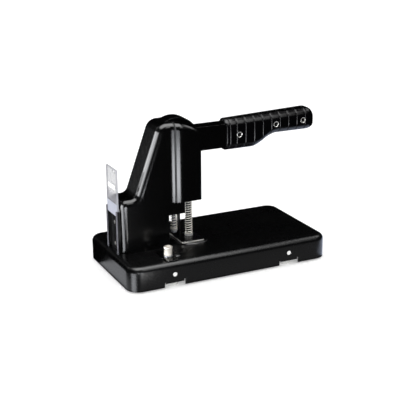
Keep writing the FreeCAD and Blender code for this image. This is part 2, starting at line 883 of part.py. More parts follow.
# Ram guide: two cheeks whose ribs run in the ram's side grooves, joined behind the ram by a web.
# The ribs begin above the place that the raised ram's foot and the punch spring under it reach.
def ram_guide():
    low = base_top + guide_rise
    top = base_top + guide_top_rise
    inner = ram_half_width + running_gap
    rib_half = groove_width / 2 - running_gap
    rib_x = groove_middle()
    rib_low = base_top + ram_bottom + ram_lift + guide_rib_gap
    pieces = []
    for side in (-1, 1):
        y0, y1 = sorted((side * inner, side * frame_inner))
        pieces.append(box(rack_tip + guide_rack_gap, guide_front, y0, y1, low, top))
        y0, y1 = sorted((side * (ram_half_width - groove_depth + running_gap), side * (inner + 1)))
        pieces.append(box(rib_x - rib_half, rib_x + rib_half, y0, y1, rib_low, top))
        y0, y1 = sorted((side * inner, side * frame_inner))
        pieces.append(box(guide_back, rack_tip + guide_rack_gap + 1, y0, y1, base_top + guide_web_rise, top))
    pieces.append(box(guide_back, guide_web_front, -frame_inner, frame_inner, base_top + guide_web_rise, top))
    guide = joined(pieces)
    for x, z in side_screw_places():
        if x > block_leg_front:
            guide = guide.cut(screw_bores(x, z))
    return guide.removeSplitter()


def groove_middle():
    return (rack_root + ram_front) / 2


# Bushes: flanged bronze bushes in the frame plates, in which the lever's shaft turns.
def shaft_bushes():
    bushes = []
    inner = shaft_radius + running_gap
    for side in (-1, 1):
        flange_in = side * (frame_inner - bush_flange_height)
        face = side * frame_inner
        outside = side * frame_outer
        flange = ring(bush_flange_radius, inner, (pivot_x, flange_in, pivot_z), (pivot_x, face, pivot_z))
        sleeve = ring(inner + bush_wall, inner, (pivot_x, face, pivot_z), (pivot_x, outside, pivot_z))
        bushes.append(joined([flange, sleeve]))
    return group(bushes)


# Shaft: turns with the lever, keyed to the pinion, with a spring clip outside each plate.
def pivot_shaft():
    shaft = rod(shaft_radius, (pivot_x, -shaft_half_length, pivot_z), (pivot_x, shaft_half_length, pivot_z))
    for side in (-1, 1):
        groove = ring(shaft_radius + 1, shaft_radius - clip_groove_depth,
                      (pivot_x, side * clip_place(), pivot_z),
                      (pivot_x, side * (clip_place() + clip_height), pivot_z))
        shaft = shaft.cut(groove)
    return shaft.cut(key_block())


def clip_place():
    return frame_outer + clip_gap


def key_block():
    """Square key let half into the shaft and half into the pinion."""
    half = key_size / 2
    z = pivot_z - shaft_radius
    return box(pivot_x - half, pivot_x + half, -gear_half_width, gear_half_width, z - half, z + half)


def shaft_clips():
    clips = []
    for side in (-1, 1):
        clip = ring(clip_radius, shaft_radius - clip_groove_depth + clip_play,
                    (pivot_x, side * clip_place(), pivot_z),
                    (pivot_x, side * (clip_place() + clip_height), pivot_z))
        y0, y1 = sorted((side * (clip_place() - 1), side * (clip_place() + clip_height + 1)))
        half = clip_opening / 2
        opening = box(pivot_x - half, pivot_x + half, y0, y1, pivot_z - 2 * clip_radius, pivot_z)
        clips.append(clip.cut(opening))
    return group(clips)


# Lever: steel channel. Two round-headed cheeks and a web that runs along the top of the arm and
# wraps over the heads. Past the taper the cheeks are shallower to fit the grip's thin end.
def lever_channel():
    top = pivot_z + arm_top
    low = pivot_z - arm_bottom
    thin = pivot_z - arm_thin_bottom
    inner = cheek_half_width - cheek_wall
    arm_corners = [(pivot_x, top, 0), (pivot_x, low, 0), (arm_taper_start, low, arm_taper_round),
                   (arm_taper_end, thin, arm_taper_round), (arm_end, thin, arm_end_round),
                   (arm_end, top, arm_top_round)]
    cheeks = []
    for y0, y1 in ((-cheek_half_width, -inner), (inner, cheek_half_width)):
        cheeks.append(rod(head_radius, (pivot_x, y0, pivot_z), (pivot_x, y1, pivot_z))
                      .fuse(slab_xz(arm_corners, y0, y1)))
    web_start = pivot_x + math.sqrt((head_radius - cheek_wall) ** 2 - (arm_top - cheek_wall) ** 2)
    web = slab_xz([(web_start, top - cheek_wall, 0), (arm_end, top - cheek_wall, 0), (arm_end, top, 0),
                   (web_start, top, 0)], -inner - web_overlap, inner + web_overlap)
    wrap_start = math.degrees(math.asin((arm_top - cheek_wall) / head_radius))
    wrap = ring(head_radius, head_radius - cheek_wall, (pivot_x, -inner - web_overlap, pivot_z),
                (pivot_x, inner + web_overlap, pivot_z))
    keep_out = sector(head_radius * 2, head_web_end, math.degrees(2 * math.pi) + wrap_start, inner + 1)
    lever = joined(cheeks + [web, wrap.cut(keep_out)])
    lever = lever.cut(rod(shaft_radius, (pivot_x, -frame_inner, pivot_z), (pivot_x, frame_inner, pivot_z)))
    for x, z in grip_screw_spots():
        lever = lever.cut(rod(grip_screw_radius + screw_clearance, (x, -frame_inner, z), (x, frame_inner, z)))
    return lever.removeSplitter()


def sector(radius, start, end, half_width):
    """Wedge about the lever's axis between two angles."""
    points = [V(pivot_x, 0, pivot_z)]
    steps = 8
    for i in range(steps + 1):
        turn = math.radians(start + (end - start) * i / steps)
        points.append(V(pivot_x + radius * math.cos(turn), 0, pivot_z + radius * math.sin(turn)))
    points.append(points[0])
    wedge = Part.Face(Part.makePolygon(points)).extrude(V(0, 2 * half_width, 0))
    wedge.translate(V(0, -half_width, 0))
    return wedge


# Pinion: involute teeth, pressed on the shaft between the cheeks, driving the ram's rack.
def drive_pinion():
    pressure = math.radians(gear_angle)
    base_radius = gear_pitch * math.cos(pressure)
    tip = gear_pitch + gear_module - gear_tip_cut
    root = gear_pitch - gear_root_depth
    thickness = math.pi * gear_module / 2 - gear_backlash / 2
    rest_half = thickness / (2 * gear_pitch) + math.tan(pressure) - pressure

    def half_angle(radius):
        roll = math.acos(min(1.0, base_radius / radius))
        return rest_half - (math.tan(roll) - roll)

    def place(radius, turn):
        return V(pivot_x + radius * math.cos(turn), 0, pivot_z + radius * math.sin(turn))

    middle = (base_radius + tip) / 2
    step = 2 * math.pi / gear_teeth
    edges = []
    for i in range(gear_teeth):
        turn = i * step
        low = half_angle(base_radius)
        high = half_angle(tip)
        edges.append(Part.LineSegment(place(root, turn - low), place(base_radius, turn - low)).toShape())
        edges.append(Part.Arc(place(base_radius, turn - low), place(middle, turn - half_angle(middle)),
                              place(tip, turn - high)).toShape())
        edges.append(Part.Arc(place(tip, turn - high), place(tip, turn), place(tip, turn + high)).toShape())
        edges.append(Part.Arc(place(tip, turn + high), place(middle, turn + half_angle(middle)),
                              place(base_radius, turn + low)).toShape())
        edges.append(Part.LineSegment(place(base_radius, turn + low), place(root, turn + low)).toShape())
        edges.append(Part.Arc(place(root, turn + low), place(root, turn + step / 2),
                              place(root, turn + step - low)).toShape())
    gear = Part.Face(Part.Wire(edges)).extrude(V(0, 2 * gear_half_width, 0))
    gear.translate(V(0, -gear_half_width, 0))
    gear = gear.cut(rod(shaft_radius, (pivot_x, -frame_inner, pivot_z), (pivot_x, frame_inner, pivot_z)))
    return gear.cut(key_block())


# Grip: two moulded half shells round the arm, deep at the front and stepped up to a thinner end.
def grip_section(x):
    """Half width, low edge, high edge and corner radius of the grip at one place along it."""
    share = (x - grip_start) / (grip_end - grip_start)
    high = base_top + grip_top_start + (grip_top_end - grip_top_start) * share
    rise = min(1.0, max(0.0, (x - grip_step_start) / (grip_step_end - grip_step_start)))
    blend = (1 - math.cos(math.pi * rise)) / 2
    low = base_top + grip_low_start + (grip_low_end - grip_low_start) * blend
    half = grip_half_width + (grip_end_half_width - grip_half_width) * share
    nose = max(0.0, x - (grip_end - grip_nose)) / grip_nose
    pinch = grip_nose * (1 - math.sqrt(max(0.0, 1 - nose * nose)))
    narrowing = pinch * grip_nose_side_share
    return (half - narrowing, low + pinch * grip_nose_low_share, high - pinch,
            max(grip_nose_round, grip_round - narrowing))


def grip_screw_spots():
    """Where the grip's screws cross the arm, as (x, z)."""
    length = grip_end - grip_start
    return [(grip_start + share * length, base_top + rise)
            for share, rise in zip(grip_screw_shares, grip_screw_rises)]


def grip_stations():
    places = [grip_start, (grip_start + grip_step_start) / 2, grip_step_start]
    steps = 6
    for i in range(1, steps + 1):
        places.append(grip_step_start + (grip_step_end - grip_step_start) * i / steps)
    places.append(grip_end - grip_nose)
    for share in (0.35, 0.6, 0.8, 0.92, 0.985):
        places.append(grip_end - grip_nose + grip_nose * share)
    return places


def grip_half(side):
    wires = []
    for x in grip_stations():
        half, low, high, radius = grip_section(x)
        a = V(x, 0, low)
        b = V(x, side * (half - radius), low)
        c = V(x, side * half, low + radius)
        d = V(x, side * half, high - radius)
        e = V(x, side * (half - radius), high)
        f = V(x, 0, high)
        lean = radius * math.sin(math.pi / 4)
        low_mid = V(x, side * (half - radius + lean), low + radius - lean)
        high_mid = V(x, side * (half - radius + lean), high - radius + lean)
        wires.append(Part.Wire([Part.LineSegment(a, b).toShape(), Part.Arc(b, low_mid, c).toShape(),
                                Part.LineSegment(c, d).toShape(), Part.Arc(d, high_mid, e).toShape(),
                                Part.LineSegment(e, f).toShape(), Part.LineSegment(f, a).toShape()]))
    shell = Part.makeLoft(wires, True, True)
    gap = grip_clearance
    top = pivot_z + arm_top + gap
    low = pivot_z - arm_bottom - gap
    thin = pivot_z - arm_thin_bottom - gap
    pocket = slab_xz([(grip_start - 1, top, 0), (grip_start - 1, low, 0),
                      (arm_taper_start, low, arm_taper_round), (arm_taper_end, thin, arm_taper_round),
                      (arm_end + gap, thin, 0), (arm_end + gap, top, 0)],
                     -cheek_half_width - gap, cheek_half_width + gap)
    shell = shell.cut(pocket)
    for x, z in grip_screw_spots():
        half = grip_section(x)[0]
        shell = shell.cut(rod(grip_screw_radius, (x, 0, z), (x, side * 2 * half, z)))
        seat = half - grip_head_sink - grip_head_height
        if side < 0:
            shell = shell.cut(rod(grip_head_radius + grip_seat_gap, (x, -seat, z), (x, -2 * half, z)))
        else:
            shell = shell.cut(hexagon(grip_nut_radius + grip_seat_gap, (x, seat, z), (x, 2 * half, z)))
    return shell


def grip_fixings():
    screws = []
    nuts = []
    for x, z in grip_screw_spots():
        half = grip_section(x)[0]
        seat = half - grip_head_sink - grip_head_height
        head = rod(grip_head_radius, (x, -seat - grip_head_height, z), (x, -seat, z))
        face = -seat - grip_head_height
        head = head.cut(hexagon(grip_socket_radius, (x, face - 1, z), (x, face + grip_socket_depth, z)))
        tail = seat + grip_nut_height + grip_screw_tail
        screws.append(joined([head, rod(grip_screw_radius, (x, -seat, z), (x, tail, z))]))
        nut = hexagon(grip_nut_radius, (x, seat, z), (x, seat + grip_nut_height, z))
        nuts.append(nut.cut(rod(grip_screw_radius, (x, 0, z), (x, 2 * half, z))))
    keep("grip_screws", group(screws))
    keep("grip_nuts", group(nuts))


# Ram: square bar with a rack on its back, guide grooves in its sides, the punch screwed into its
# foot and a yoke arm behind that carries the buffer rod. A side port lets the chips out.
def ram_rack():
    low = base_top + ram_bottom
    top = base_top + ram_top
    bar = box(rack_tip, ram_front, -ram_half_width, ram_half_width, low, top)
    yoke = box(buffer_x - buffer_head_radius, rack_tip + 1, -yoke_half_width, yoke_half_width,
               yoke_bottom, yoke_bottom + yoke_height)
    bar = bar.fuse(yoke)
    pitch = math.pi * gear_module
    lean = math.tan(math.radians(gear_angle))
    half_gap = pitch / 4 + gear_backlash / 4
    count = int(math.ceil((ram_lift + pitch) / pitch)) + 1
    for i in range(-2, count):
        z = pivot_z - i * pitch
        wide = half_gap + gear_module * lean
        narrow = half_gap - gear_root_depth * lean
        tooth_gap = slab_xz([(rack_tip - 0.001, z - wide, 0), (rack_root, z - narrow, 0),
                             (rack_root, z + narrow, 0), (rack_tip - 0.001, z + wide, 0)],
                            -ram_half_width - 1, ram_half_width + 1)
        bar = bar.cut(tooth_gap)
    half = groove_width / 2
    for side in (-1, 1):
        y0, y1 = sorted((side * (ram_half_width - groove_depth), side * (ram_half_width + 1)))
        bar = bar.cut(box(groove_middle() - half, groove_middle() + half, y0, y1, low - 1, top + 1))
    bar = bar.cut(rod(punch_shank_radius, (punch_x, 0, low - 1), (punch_x, 0, low + punch_shank_length)))
    port_z = low + punch_shank_length + chip_port_radius
    bar = bar.cut(rod(chip_port_radius, (punch_x, 0, low), (punch_x, 0, port_z + chip_port_radius)))
    bar = bar.cut(rod(chip_exit_radius, (punch_x, 0, port_z), (rack_tip - 1, 0, port_z)))
    bar = bar.cut(rod(buffer_radius, (buffer_x, 0, low), (buffer_x, 0, top)))
    return bar.removeSplitter()


# Punch: hollow steel cutter with a ground edge, threaded into the ram.
def punch_tube():
    low = base_top + ram_bottom
    tube = joined([rod(punch_shank_radius, (punch_x, 0, low), (punch_x, 0, low + punch_shank_length)),
                   rod(punch_body_radius, (punch_x, 0, cutter_tip + cutter_length), (punch_x, 0, low)),
                   rod(cutter_radius, (punch_x, 0, cutter_tip), (punch_x, 0, cutter_tip + cutter_length))])
    bore = rod(cutter_bore, (punch_x, 0, cutter_tip - 1), (punch_x, 0, low + punch_shank_length + 1))
    tube = tube.cut(bore)
    tip = V(punch_x, 0, cutter_tip)
    return tube.cut(Part.makeCone(cutter_radius - cutter_edge, cutter_bore, cutter_edge_height, tip))


# Presser foot: plate with round corners, guide post riveted at its back, and a flanged collar
# round the cutter that seats the punch spring.
def foot_plate():
    half = foot_plate_half
    corner = foot_plate_corner
    corners = [(foot_plate_rear, -half, corner), (foot_plate_front, -half, corner),
               (foot_plate_front, half, corner), (foot_plate_rear, half, corner)]
    plate = slab_xy(corners, foot_bottom, foot_top)
    plate = plate.cut(rod(foot_hole_radius, (punch_x, 0, foot_bottom - 1), (punch_x, 0, foot_top + 1)))
    return plate.cut(rod(post_radius, (post_x, 0, foot_bottom - 1), (post_x, 0, foot_top + 1)))


def foot_post():
    return rod(post_radius, (post_x, 0, foot_bottom), (post_x, 0, base_top + post_top_rise))


def foot_collar():
    inner = cutter_radius + collar_gap
    return joined([ring(foot_hole_radius, inner, (punch_x, 0, foot_bottom), (punch_x, 0, foot_top)),
                   ring(collar_radius, inner, (punch_x, 0, foot_top), (punch_x, 0, collar_top))])


# Springs: each is one unbroken wire. The helix is laid out in quarter turns, and each quarter is
# two arcs that meet tangentially.
def helix_point(x, radius, rise_per_turn, low, turn):
    return V(x + radius * math.cos(turn), radius * math.sin(turn), low + rise_per_turn * turn / (2 * math.pi))


def helix_tangent(radius, rise_per_turn, turn):
    return V(-radius * math.sin(turn), radius * math.cos(turn), rise_per_turn / (2 * math.pi)).normalize()


def arc_from(start, tangent, end):
    """Arc that leaves the start along the tangent and ends at the given point."""
    chord = end - start
    along = V(chord).normalize()
    side = tangent - along * tangent.dot(along)
    angle = tangent.getAngle(along)
    middle = (start + end) * 0.5 + side.normalize() * (chord.Length / 2 * math.tan(angle / 2))
    return Part.Arc(start, middle, end).toShape()


def wound_spring(x, radius, wire, turns, low, high):
    start = low + wire + spring_seat
    rise = (high - low - 2 * wire - 2 * spring_seat) / turns
    steps = turns * 4
    edges = []
    for i in range(steps):
        t0 = i * math.pi / 2
        t1 = (i + 1) * math.pi / 2
        p0 = helix_point(x, radius, rise, start, t0)
        p1 = helix_point(x, radius, rise, start, t1)
        d0 = helix_tangent(radius, rise, t0)
        d1 = helix_tangent(radius, rise, t1)
        chord = p1 - p0
        total = d0 + d1
        spread = 2 * (1 - d0.dot(d1))
        reach = (-chord.dot(total) + math.sqrt(chord.dot(total) ** 2 + spread * chord.dot(chord))) / spread
        joint = (p0 + d0 * reach + p1 - d1 * reach) * 0.5
        edges.append(arc_from(p0, d0, joint))
        back = arc_from(p1, d1 * -1, joint)
        halfway = back.valueAt((back.FirstParameter + back.LastParameter) / 2)
        edges.append(Part.Arc(joint, halfway, p1).toShape())
    section = Part.Wire([Part.makeCircle(wire, helix_point(x, radius, rise, start, 0),
                                         helix_tangent(radius, rise, 0))])
    coil = Part.Wire(edges).makePipeShell([section], True, False)
    print("coil gap to itself", round(coil_gap(x, radius, rise, start, turns) - 2 * wire, 3),
          "solids", len(coil.Solids), "valid", coil.isValid())
    return coil


def coil_gap(x, radius, rise, start, turns):
    """Least distance between points of the wire's centre line half a turn or more apart."""
    per_turn = 24
    step = 2 * math.pi / per_turn
    points = [helix_point(x, radius, rise, start, step * i) for i in range(turns * per_turn)]
    least = None
    for i, point in enumerate(points):
        for other in points[i + per_turn // 2:i + 3 * per_turn // 2]:
            gap = (other - point).Length
            if least is None or gap < least:
                least = gap
    return least


# Buffer rod: hangs from the ram's yoke through the guide block, with a spring, washer and nut.
def buffer_parts():
    tip = base_top + buffer_tip_rise
    washer_low = tip + buffer_nut_height
    washer_top = washer_low + buffer_washer_height
    head_low = yoke_bottom + yoke_height
    keep("buffer_rod", joined([rod(buffer_radius, (buffer_x, 0, tip), (buffer_x, 0, head_low)),
                               rod(buffer_head_radius, (buffer_x, 0, head_low),
                                   (buffer_x, 0, head_low + buffer_head_height))]))
    nut = hexagon(buffer_head_radius, (buffer_x, 0, tip), (buffer_x, 0, washer_low))
    keep("buffer_nut", nut.cut(rod(buffer_radius, (buffer_x, 0, tip - 1), (buffer_x, 0, washer_top))))
    keep("buffer_washer", ring(buffer_washer_radius, buffer_radius, (buffer_x, 0, washer_low),
                               (buffer_x, 0, washer_top)))
    keep("buffer_spring", wound_spring(buffer_x, buffer_spring_radius, buffer_spring_wire,
                                       buffer_spring_turns, washer_top, base_top + block_rise))


# Paper gauge: flat plate on a headed stud that slides in the base's slot, held by a round nickel
# thumb knob on a washer.
def gauge_parts():
    low = base_top + gauge_gap
    top = low + gauge_wall
    x0 = gauge_x - gauge_length / 2
    x1 = gauge_x + gauge_length / 2
    corner = gauge_corner
    plate = slab_xy([(x0, gauge_near, corner), (x1, gauge_near, corner), (x1, gauge_far, corner),
                     (x0, gauge_far, corner)], low, top)
    keep("gauge_plate", plate.cut(rod(stud_radius, (gauge_x, gauge_y, low - 1), (gauge_x, gauge_y, top + 1))))
    head_top = base_under - gauge_gap
    washer_top = top + gauge_washer_height
    stud_tip = top + stud_top
    head_low = head_top - stud_head_height
    head = rod(stud_head_radius, (gauge_x, gauge_y, head_low), (gauge_x, gauge_y, head_top))
    shank = rod(stud_radius, (gauge_x, gauge_y, head_top), (gauge_x, gauge_y, stud_tip))
    keep("gauge_stud", joined([head, shank]))
    keep("gauge_washer", ring(gauge_washer_radius, stud_radius, (gauge_x, gauge_y, top),
                              (gauge_x, gauge_y, washer_top)))
    knob_low = washer_top + slot_clearance
    knob_top = knob_low + knob_height
    body = rod(knob_radius, (gauge_x, gauge_y, knob_low), (gauge_x, gauge_y, knob_top))
    rim = rod(knob_rim_radius, (gauge_x, gauge_y, knob_top - knob_rim_height), (gauge_x, gauge_y, knob_top))
    knob = body.fuse(rim)
    knob = knob.cut(rod(knob_recess_radius, (gauge_x, gauge_y, knob_top - knob_recess_depth),
                        (gauge_x, gauge_y, knob_top + 1)))
    knob = knob.cut(rod(stud_radius + running_gap, (gauge_x, gauge_y, knob_low - 1),
                        (gauge_x, gauge_y, stud_tip + stud_tip_gap)))
    keep("thumb_knob", knob.removeSplitter())


# Rear channel: folded black channel riveted to the casing's back, with lips that hold the slide.
def chip_channel():
    low = base_top
    top = base_top + channel_rise
    outer = channel_half + channel_wall
    x_out = casing_rear - channel_depth
    web = Part.Face(Part.makePolygon([V(casing_rear, -outer, low), V(casing_rear, outer, low),
                                      V(casing_rear, outer, top - channel_cut),
                                      V(casing_rear, outer - channel_cut, top),
                                      V(casing_rear, channel_cut - outer, top),
                                      V(casing_rear, -outer, top - channel_cut),
                                      V(casing_rear, -outer, low)])).extrude(V(-channel_wall, 0, 0))
    pieces = [web]
    side_top = top - channel_cut
    for side in (-1, 1):
        y0, y1 = sorted((side * channel_half, side * outer))
        pieces.append(box(x_out, casing_rear, y0, y1, low, side_top))
        y0, y1 = sorted((side * (channel_half - channel_lip), side * outer))
        pieces.append(box(x_out, x_out + channel_lip_wall, y0, y1, low, side_top))
    channel = joined(pieces)
    for rise in rivet_rises:
        z = low + rise
        channel = channel.cut(rod(rivet_radius, (x_out, 0, z), (casing_rear + 1, 0, z)))
        channel = channel.cut(rivet_cone(z))
    return channel.removeSplitter()


def rivet_cone(z):
    """Countersink that keeps the rivet's head flush with the web."""
    face = V(casing_rear - channel_wall, 0, z)
    return Part.makeCone(rivet_head_radius, rivet_radius, channel_wall, face, X)


def channel_rivets():
    rivets = []
    inside = casing_rear + casing_wall
    for rise in rivet_rises:
        z = base_top + rise
        rivets.append(joined([rivet_cone(z), rod(rivet_radius, (casing_rear, 0, z), (inside, 0, z)),
                              rod(rivet_radius + rivet_tail_overlap, (inside, 0, z),
                                  (inside + rivet_tail_height, 0, z))]))
    return group(rivets)


# Clear slide: plain strip of frosted clear plastic with a small hand hole, drawn up in its channel.
def clear_slide():
    x1 = casing_rear - channel_wall - slide_gap
    x0 = x1 - slide_wall
    low = base_top + slide_rest_rise
    top = low + slide_length
    strip = box(x0, x1, -slide_half, slide_half, low, top)
    strip = strip.makeFillet(slide_corner, [e for e in strip.Edges
                                            if e.BoundBox.YLength < 1e-3 and e.BoundBox.ZLength < 1e-3])
    half = slide_notch_width / 2
    notch_top = top - slide_notch_drop
    return strip.cut(box(x0 - 1, x1 + 1, slide_notch_y - half, slide_notch_y + half,
                         notch_top - slide_notch_height, notch_top))


keep("base_pan", base_pan())
keep("base_stiffener", base_stiffener())
feet()
keep("side_plugs", side_plugs())
keep("cutting_pad", cutting_pad())
keep("pad_seat", pad_seat())
keep("tower_casing", tower_casing())
keep("casing_screws", casing_screws())
keep("frame_plate_near", frame_plate(-1))
keep("frame_plate_far", frame_plate(1))
frame_fixings()
keep("side_screws", side_screws())
keep("guide_block", guide_block())
keep("ram_guide", ram_guide())
keep("shaft_bushes", shaft_bushes())
keep("pivot_shaft", pivot_shaft())
keep("pinion_key", key_block())
keep("shaft_clips", shaft_clips())
keep("lever_channel", lever_channel())
keep("drive_pinion", drive_pinion())
keep("grip_near", grip_half(-1))
keep("grip_far", grip_half(1))
grip_fixings()
keep("ram_rack", ram_rack())
keep("punch_tube", punch_tube())
keep("foot_plate", foot_plate())
keep("foot_post", foot_post())
keep("foot_collar", foot_collar())
keep("punch_spring", wound_spring(punch_x, punch_spring_radius, punch_spring_wire, punch_spring_turns,
                                  collar_top, base_top + ram_bottom))
buffer_parts()
gauge_parts()
keep("chip_channel", chip_channel())
keep("channel_rivets", channel_rivets())
keep("clear_slide", clear_slide())

os.makedirs("parts", exist_ok=True)
for name, shape in solids.items():
    if not shape.isValid() or not shape.Solids:
        print("problem in", name)
    shape.exportStep("parts/" + name + ".step")
print(len(solids), "nodes,", sum(len(s.Solids) for s in solids.values()), "solids")
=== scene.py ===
import bmesh
import bpy
import math
from mathutils import Matrix, Vector


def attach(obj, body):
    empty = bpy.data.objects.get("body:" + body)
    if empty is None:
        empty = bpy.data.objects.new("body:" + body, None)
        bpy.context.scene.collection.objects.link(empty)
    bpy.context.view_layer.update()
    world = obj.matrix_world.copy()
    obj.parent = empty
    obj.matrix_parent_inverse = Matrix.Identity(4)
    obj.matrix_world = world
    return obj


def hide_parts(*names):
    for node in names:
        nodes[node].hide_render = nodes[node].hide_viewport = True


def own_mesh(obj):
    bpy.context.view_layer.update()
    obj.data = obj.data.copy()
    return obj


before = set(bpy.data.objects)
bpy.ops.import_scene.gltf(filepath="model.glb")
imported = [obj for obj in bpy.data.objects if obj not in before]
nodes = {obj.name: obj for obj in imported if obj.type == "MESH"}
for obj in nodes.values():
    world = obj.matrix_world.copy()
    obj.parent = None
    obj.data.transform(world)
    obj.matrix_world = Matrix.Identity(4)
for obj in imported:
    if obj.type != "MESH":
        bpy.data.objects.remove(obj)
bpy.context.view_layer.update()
MM = 0.001

# Camera: a long lens a little over a metre from the punch, to the left of its near side and
# looking down on it.
camera_place = Vector((-0.5461, -1.1138, 0.4851))
camera_turn = math.radians(-25.87)
camera_rise = math.radians(18.59)
camera_roll = math.radians(-0.40)
back = Vector((math.sin(camera_turn) * math.cos(camera_rise),
               -math.cos(camera_turn) * math.cos(camera_rise), math.sin(camera_rise)))
right = Vector((math.cos(camera_turn), math.sin(camera_turn), 0))
up = back.cross(right)
across = right * math.cos(camera_roll) + up * math.sin(camera_roll)
above = up * math.cos(camera_roll) - right * math.sin(camera_roll)
camera = bpy.data.objects.new("camera", bpy.data.cameras.new("camera"))
bpy.context.scene.collection.objects.link(camera)
camera.data.lens = 86.0
camera.data.sensor_width = 36.0
camera.data.clip_start = 0.01
camera.data.dof.use_dof = False
axes = Matrix((across, above, back)).transposed()
camera.matrix_world = Matrix.Translation(camera_place) @ axes.to_4x4()
bpy.context.scene.camera = camera
bpy.context.scene.view_settings.view_transform = "Standard"


# Floor and light: a pale table in an even white room. The black pieces mirror soft boxes on the
# left and overhead, and patches of lit table.
class Wire:
    """A socket in a material or a Geometry Nodes tree. Sums on it add Math nodes."""

    def __init__(self, tree, socket=None):
        self.tree = tree
        self.socket = socket

    def put(self, socket, value):
        if isinstance(value, Wire):
            self.tree.links.new(value.socket, socket)
        else:
            socket.default_value = value

    def node(self, kind, settings=None, sockets=None, out=0):
        """Adds a node: its settings first, then the values or links of its sockets."""
        made = self.tree.nodes.new(kind)
        for name, value in (settings or {}).items():
            setattr(made, name, value)
        for name, value in (sockets or {}).items():
            self.put(made.inputs[name], value)
        return Wire(self.tree, made.outputs[out])

    def maths(self, operation, first, second=0.0, limit=False):
        settings = {"operation": operation, "use_clamp": limit}
        return self.node("ShaderNodeMath", settings, {0: first, 1: second})

    def __add__(self, other):
        return self.maths("ADD", self, other)

    def __radd__(self, other):
        return self.maths("ADD", other, self)

    def __sub__(self, other):
        return self.maths("SUBTRACT", self, other)

    def __rsub__(self, other):
        return self.maths("SUBTRACT", other, self)

    def __mul__(self, other):
        return self.maths("MULTIPLY", self, other)

    def __rmul__(self, other):
        return self.maths("MULTIPLY", other, self)

    def __abs__(self):
        return self.maths("ABSOLUTE", self)

    def held(self):
        """The value kept between 0 and 1."""
        return self.maths("ADD", self, 0.0, True)

    def between(self, first, second):
        """Colour that goes from the first to the second as this value goes from 0 to 1."""
        return self.node("ShaderNodeMix", {"data_type": "RGBA"}, {0: self, 6: first, 7: second}, out=2)


def new_surface(name):
    """A material with its Principled shader, and the wire that its nodes start from."""
    material = bpy.data.materials.new(name)
    material.use_nodes = True
    return material, material.node_tree.nodes["Principled BSDF"], Wire(material.node_tree)


def link_mesh(name, mesh, material):
    """Puts a mesh in the scene as an object at the origin."""
    mesh.materials.clear()
    mesh.materials.append(material)
    piece = bpy.data.objects.new(name, mesh)
    bpy.context.scene.collection.objects.link(piece)
    return piece


floor_reach = 7.0
floor_material, shader, wire = new_surface("pale_table")
place = wire.node("ShaderNodeTexCoord", out=3)
grain = wire.node("ShaderNodeTexNoise", sockets={"Vector": place, "Scale": 6.0, "Detail": 3.0})
wire.put(shader.inputs["Base Color"], grain.between((0.86, 0.86, 0.86, 1), (0.9, 0.9, 0.9, 1)))
shader.inputs["Roughness"].default_value = 0.9
shader.inputs["Emission Color"].default_value = (1, 1, 1, 1)
shader.inputs["Emission Strength"].default_value = 0.35
mesh = bpy.data.meshes.new("table")
corners = [(x * floor_reach, y * floor_reach, 0) for x, y in ((-1, -1), (1, -1), (1, 1), (-1, 1))]
mesh.from_pydata(corners, [], [(0, 1, 2, 3)])
table = link_mesh("table", mesh, floor_material)
table.visible_glossy = False
table.visible_shadow = False

world = bpy.data.worlds.new("room")
bpy.context.scene.world = world
world.use_nodes = True
backdrop = world.node_tree.nodes["Background"]
backdrop.inputs["Color"].default_value = (1, 1, 1, 1)
backdrop.inputs["Strength"].default_value = 1.0
world.cycles_visibility.glossy = False


def soft_box(name, place, target, width, height, radiance, tint=(1, 1, 1)):
    """A rectangular light that is only seen mirrored in the machine."""
    light = bpy.data.lights.new(name, "AREA")
    light.shape = "RECTANGLE"
    light.size = width
    light.size_y = height
    light.energy = radiance * width * height * math.pi
    light.color = tint
    lamp = bpy.data.objects.new(name, light)
    bpy.context.scene.collection.objects.link(lamp)
    way = Vector(target) - Vector(place)
    lamp.matrix_world = Matrix.Translation(place) @ way.to_track_quat("-Z", "Y").to_matrix().to_4x4()
    lamp.visible_camera = False
    lamp.visible_diffuse = False
    return lamp


def lit_floor(name, x, y, length, width, turn, radiance, tint=(1, 1, 1)):
    """A patch of lit table, turned about the upright by an angle in degrees."""
    place = (x, y, 0.0005)
    lamp = soft_box(name, place, (x, y, 1), length, width, radiance, tint)
    turned_over = Matrix.Rotation(math.radians(turn), 4, "Z") @ Matrix.Rotation(math.pi, 4, "X")
    lamp.matrix_world = Matrix.Translation(place) @ turned_over


soft_box("left_box", (-0.90, 0.18, 0.12), (0, 0.18, 0.12), 1.80, 0.66, 7.0, (0.95, 0.97, 1.0))
soft_box("left_core", (-0.89, 0.12, 0.12), (0, 0.12, 0.12), 1.10, 0.64, 13.0, (0.97, 0.98, 1.0))
soft_box("low_box", (-0.76, -0.40, -0.275), (-0.14, -0.07, -0.275), 0.50, 0.21, 12.0, (0.93, 0.95, 1.0))
overhead_height = 0.95
overhead = ((-0.13, -0.25, 0.94, 0.74, 10.0), (-0.13, 0.22, 0.94, 0.20, 6.0),
            (0.41, -0.44, 0.14, 0.36, 5.0), (0.54, -0.44, 0.12, 0.36, 2.0),
            (0.42, -1.01, 0.36, 0.78, 5.5), (0.66, -1.22, 0.12, 0.45, 3.5),
            (0.82, -1.22, 0.20, 0.45, 1.5), (0.88, -0.05, 0.50, 0.70, 4.0))
for i, (x, y, length, width, radiance) in enumerate(overhead):
    soft_box("overhead_%d" % i, (x, y, overhead_height), (x, y, 0), length, width, radiance)
soft_box("rear_left_box", (-0.90, 1.20, 1.10), (0, 0, 0.10), 0.6, 0.6, 1.2)
lit_floor("rear_floor", -0.168, -0.025, 0.036, 0.14, 0, 1.1, (0.93, 0.95, 1.0))
joggle_floors = ((-0.176, -0.329, 0.10, 0.22), (-0.211, -0.423, 0.10, 0.29), (-0.253, -0.535, 0.14, 0.36))
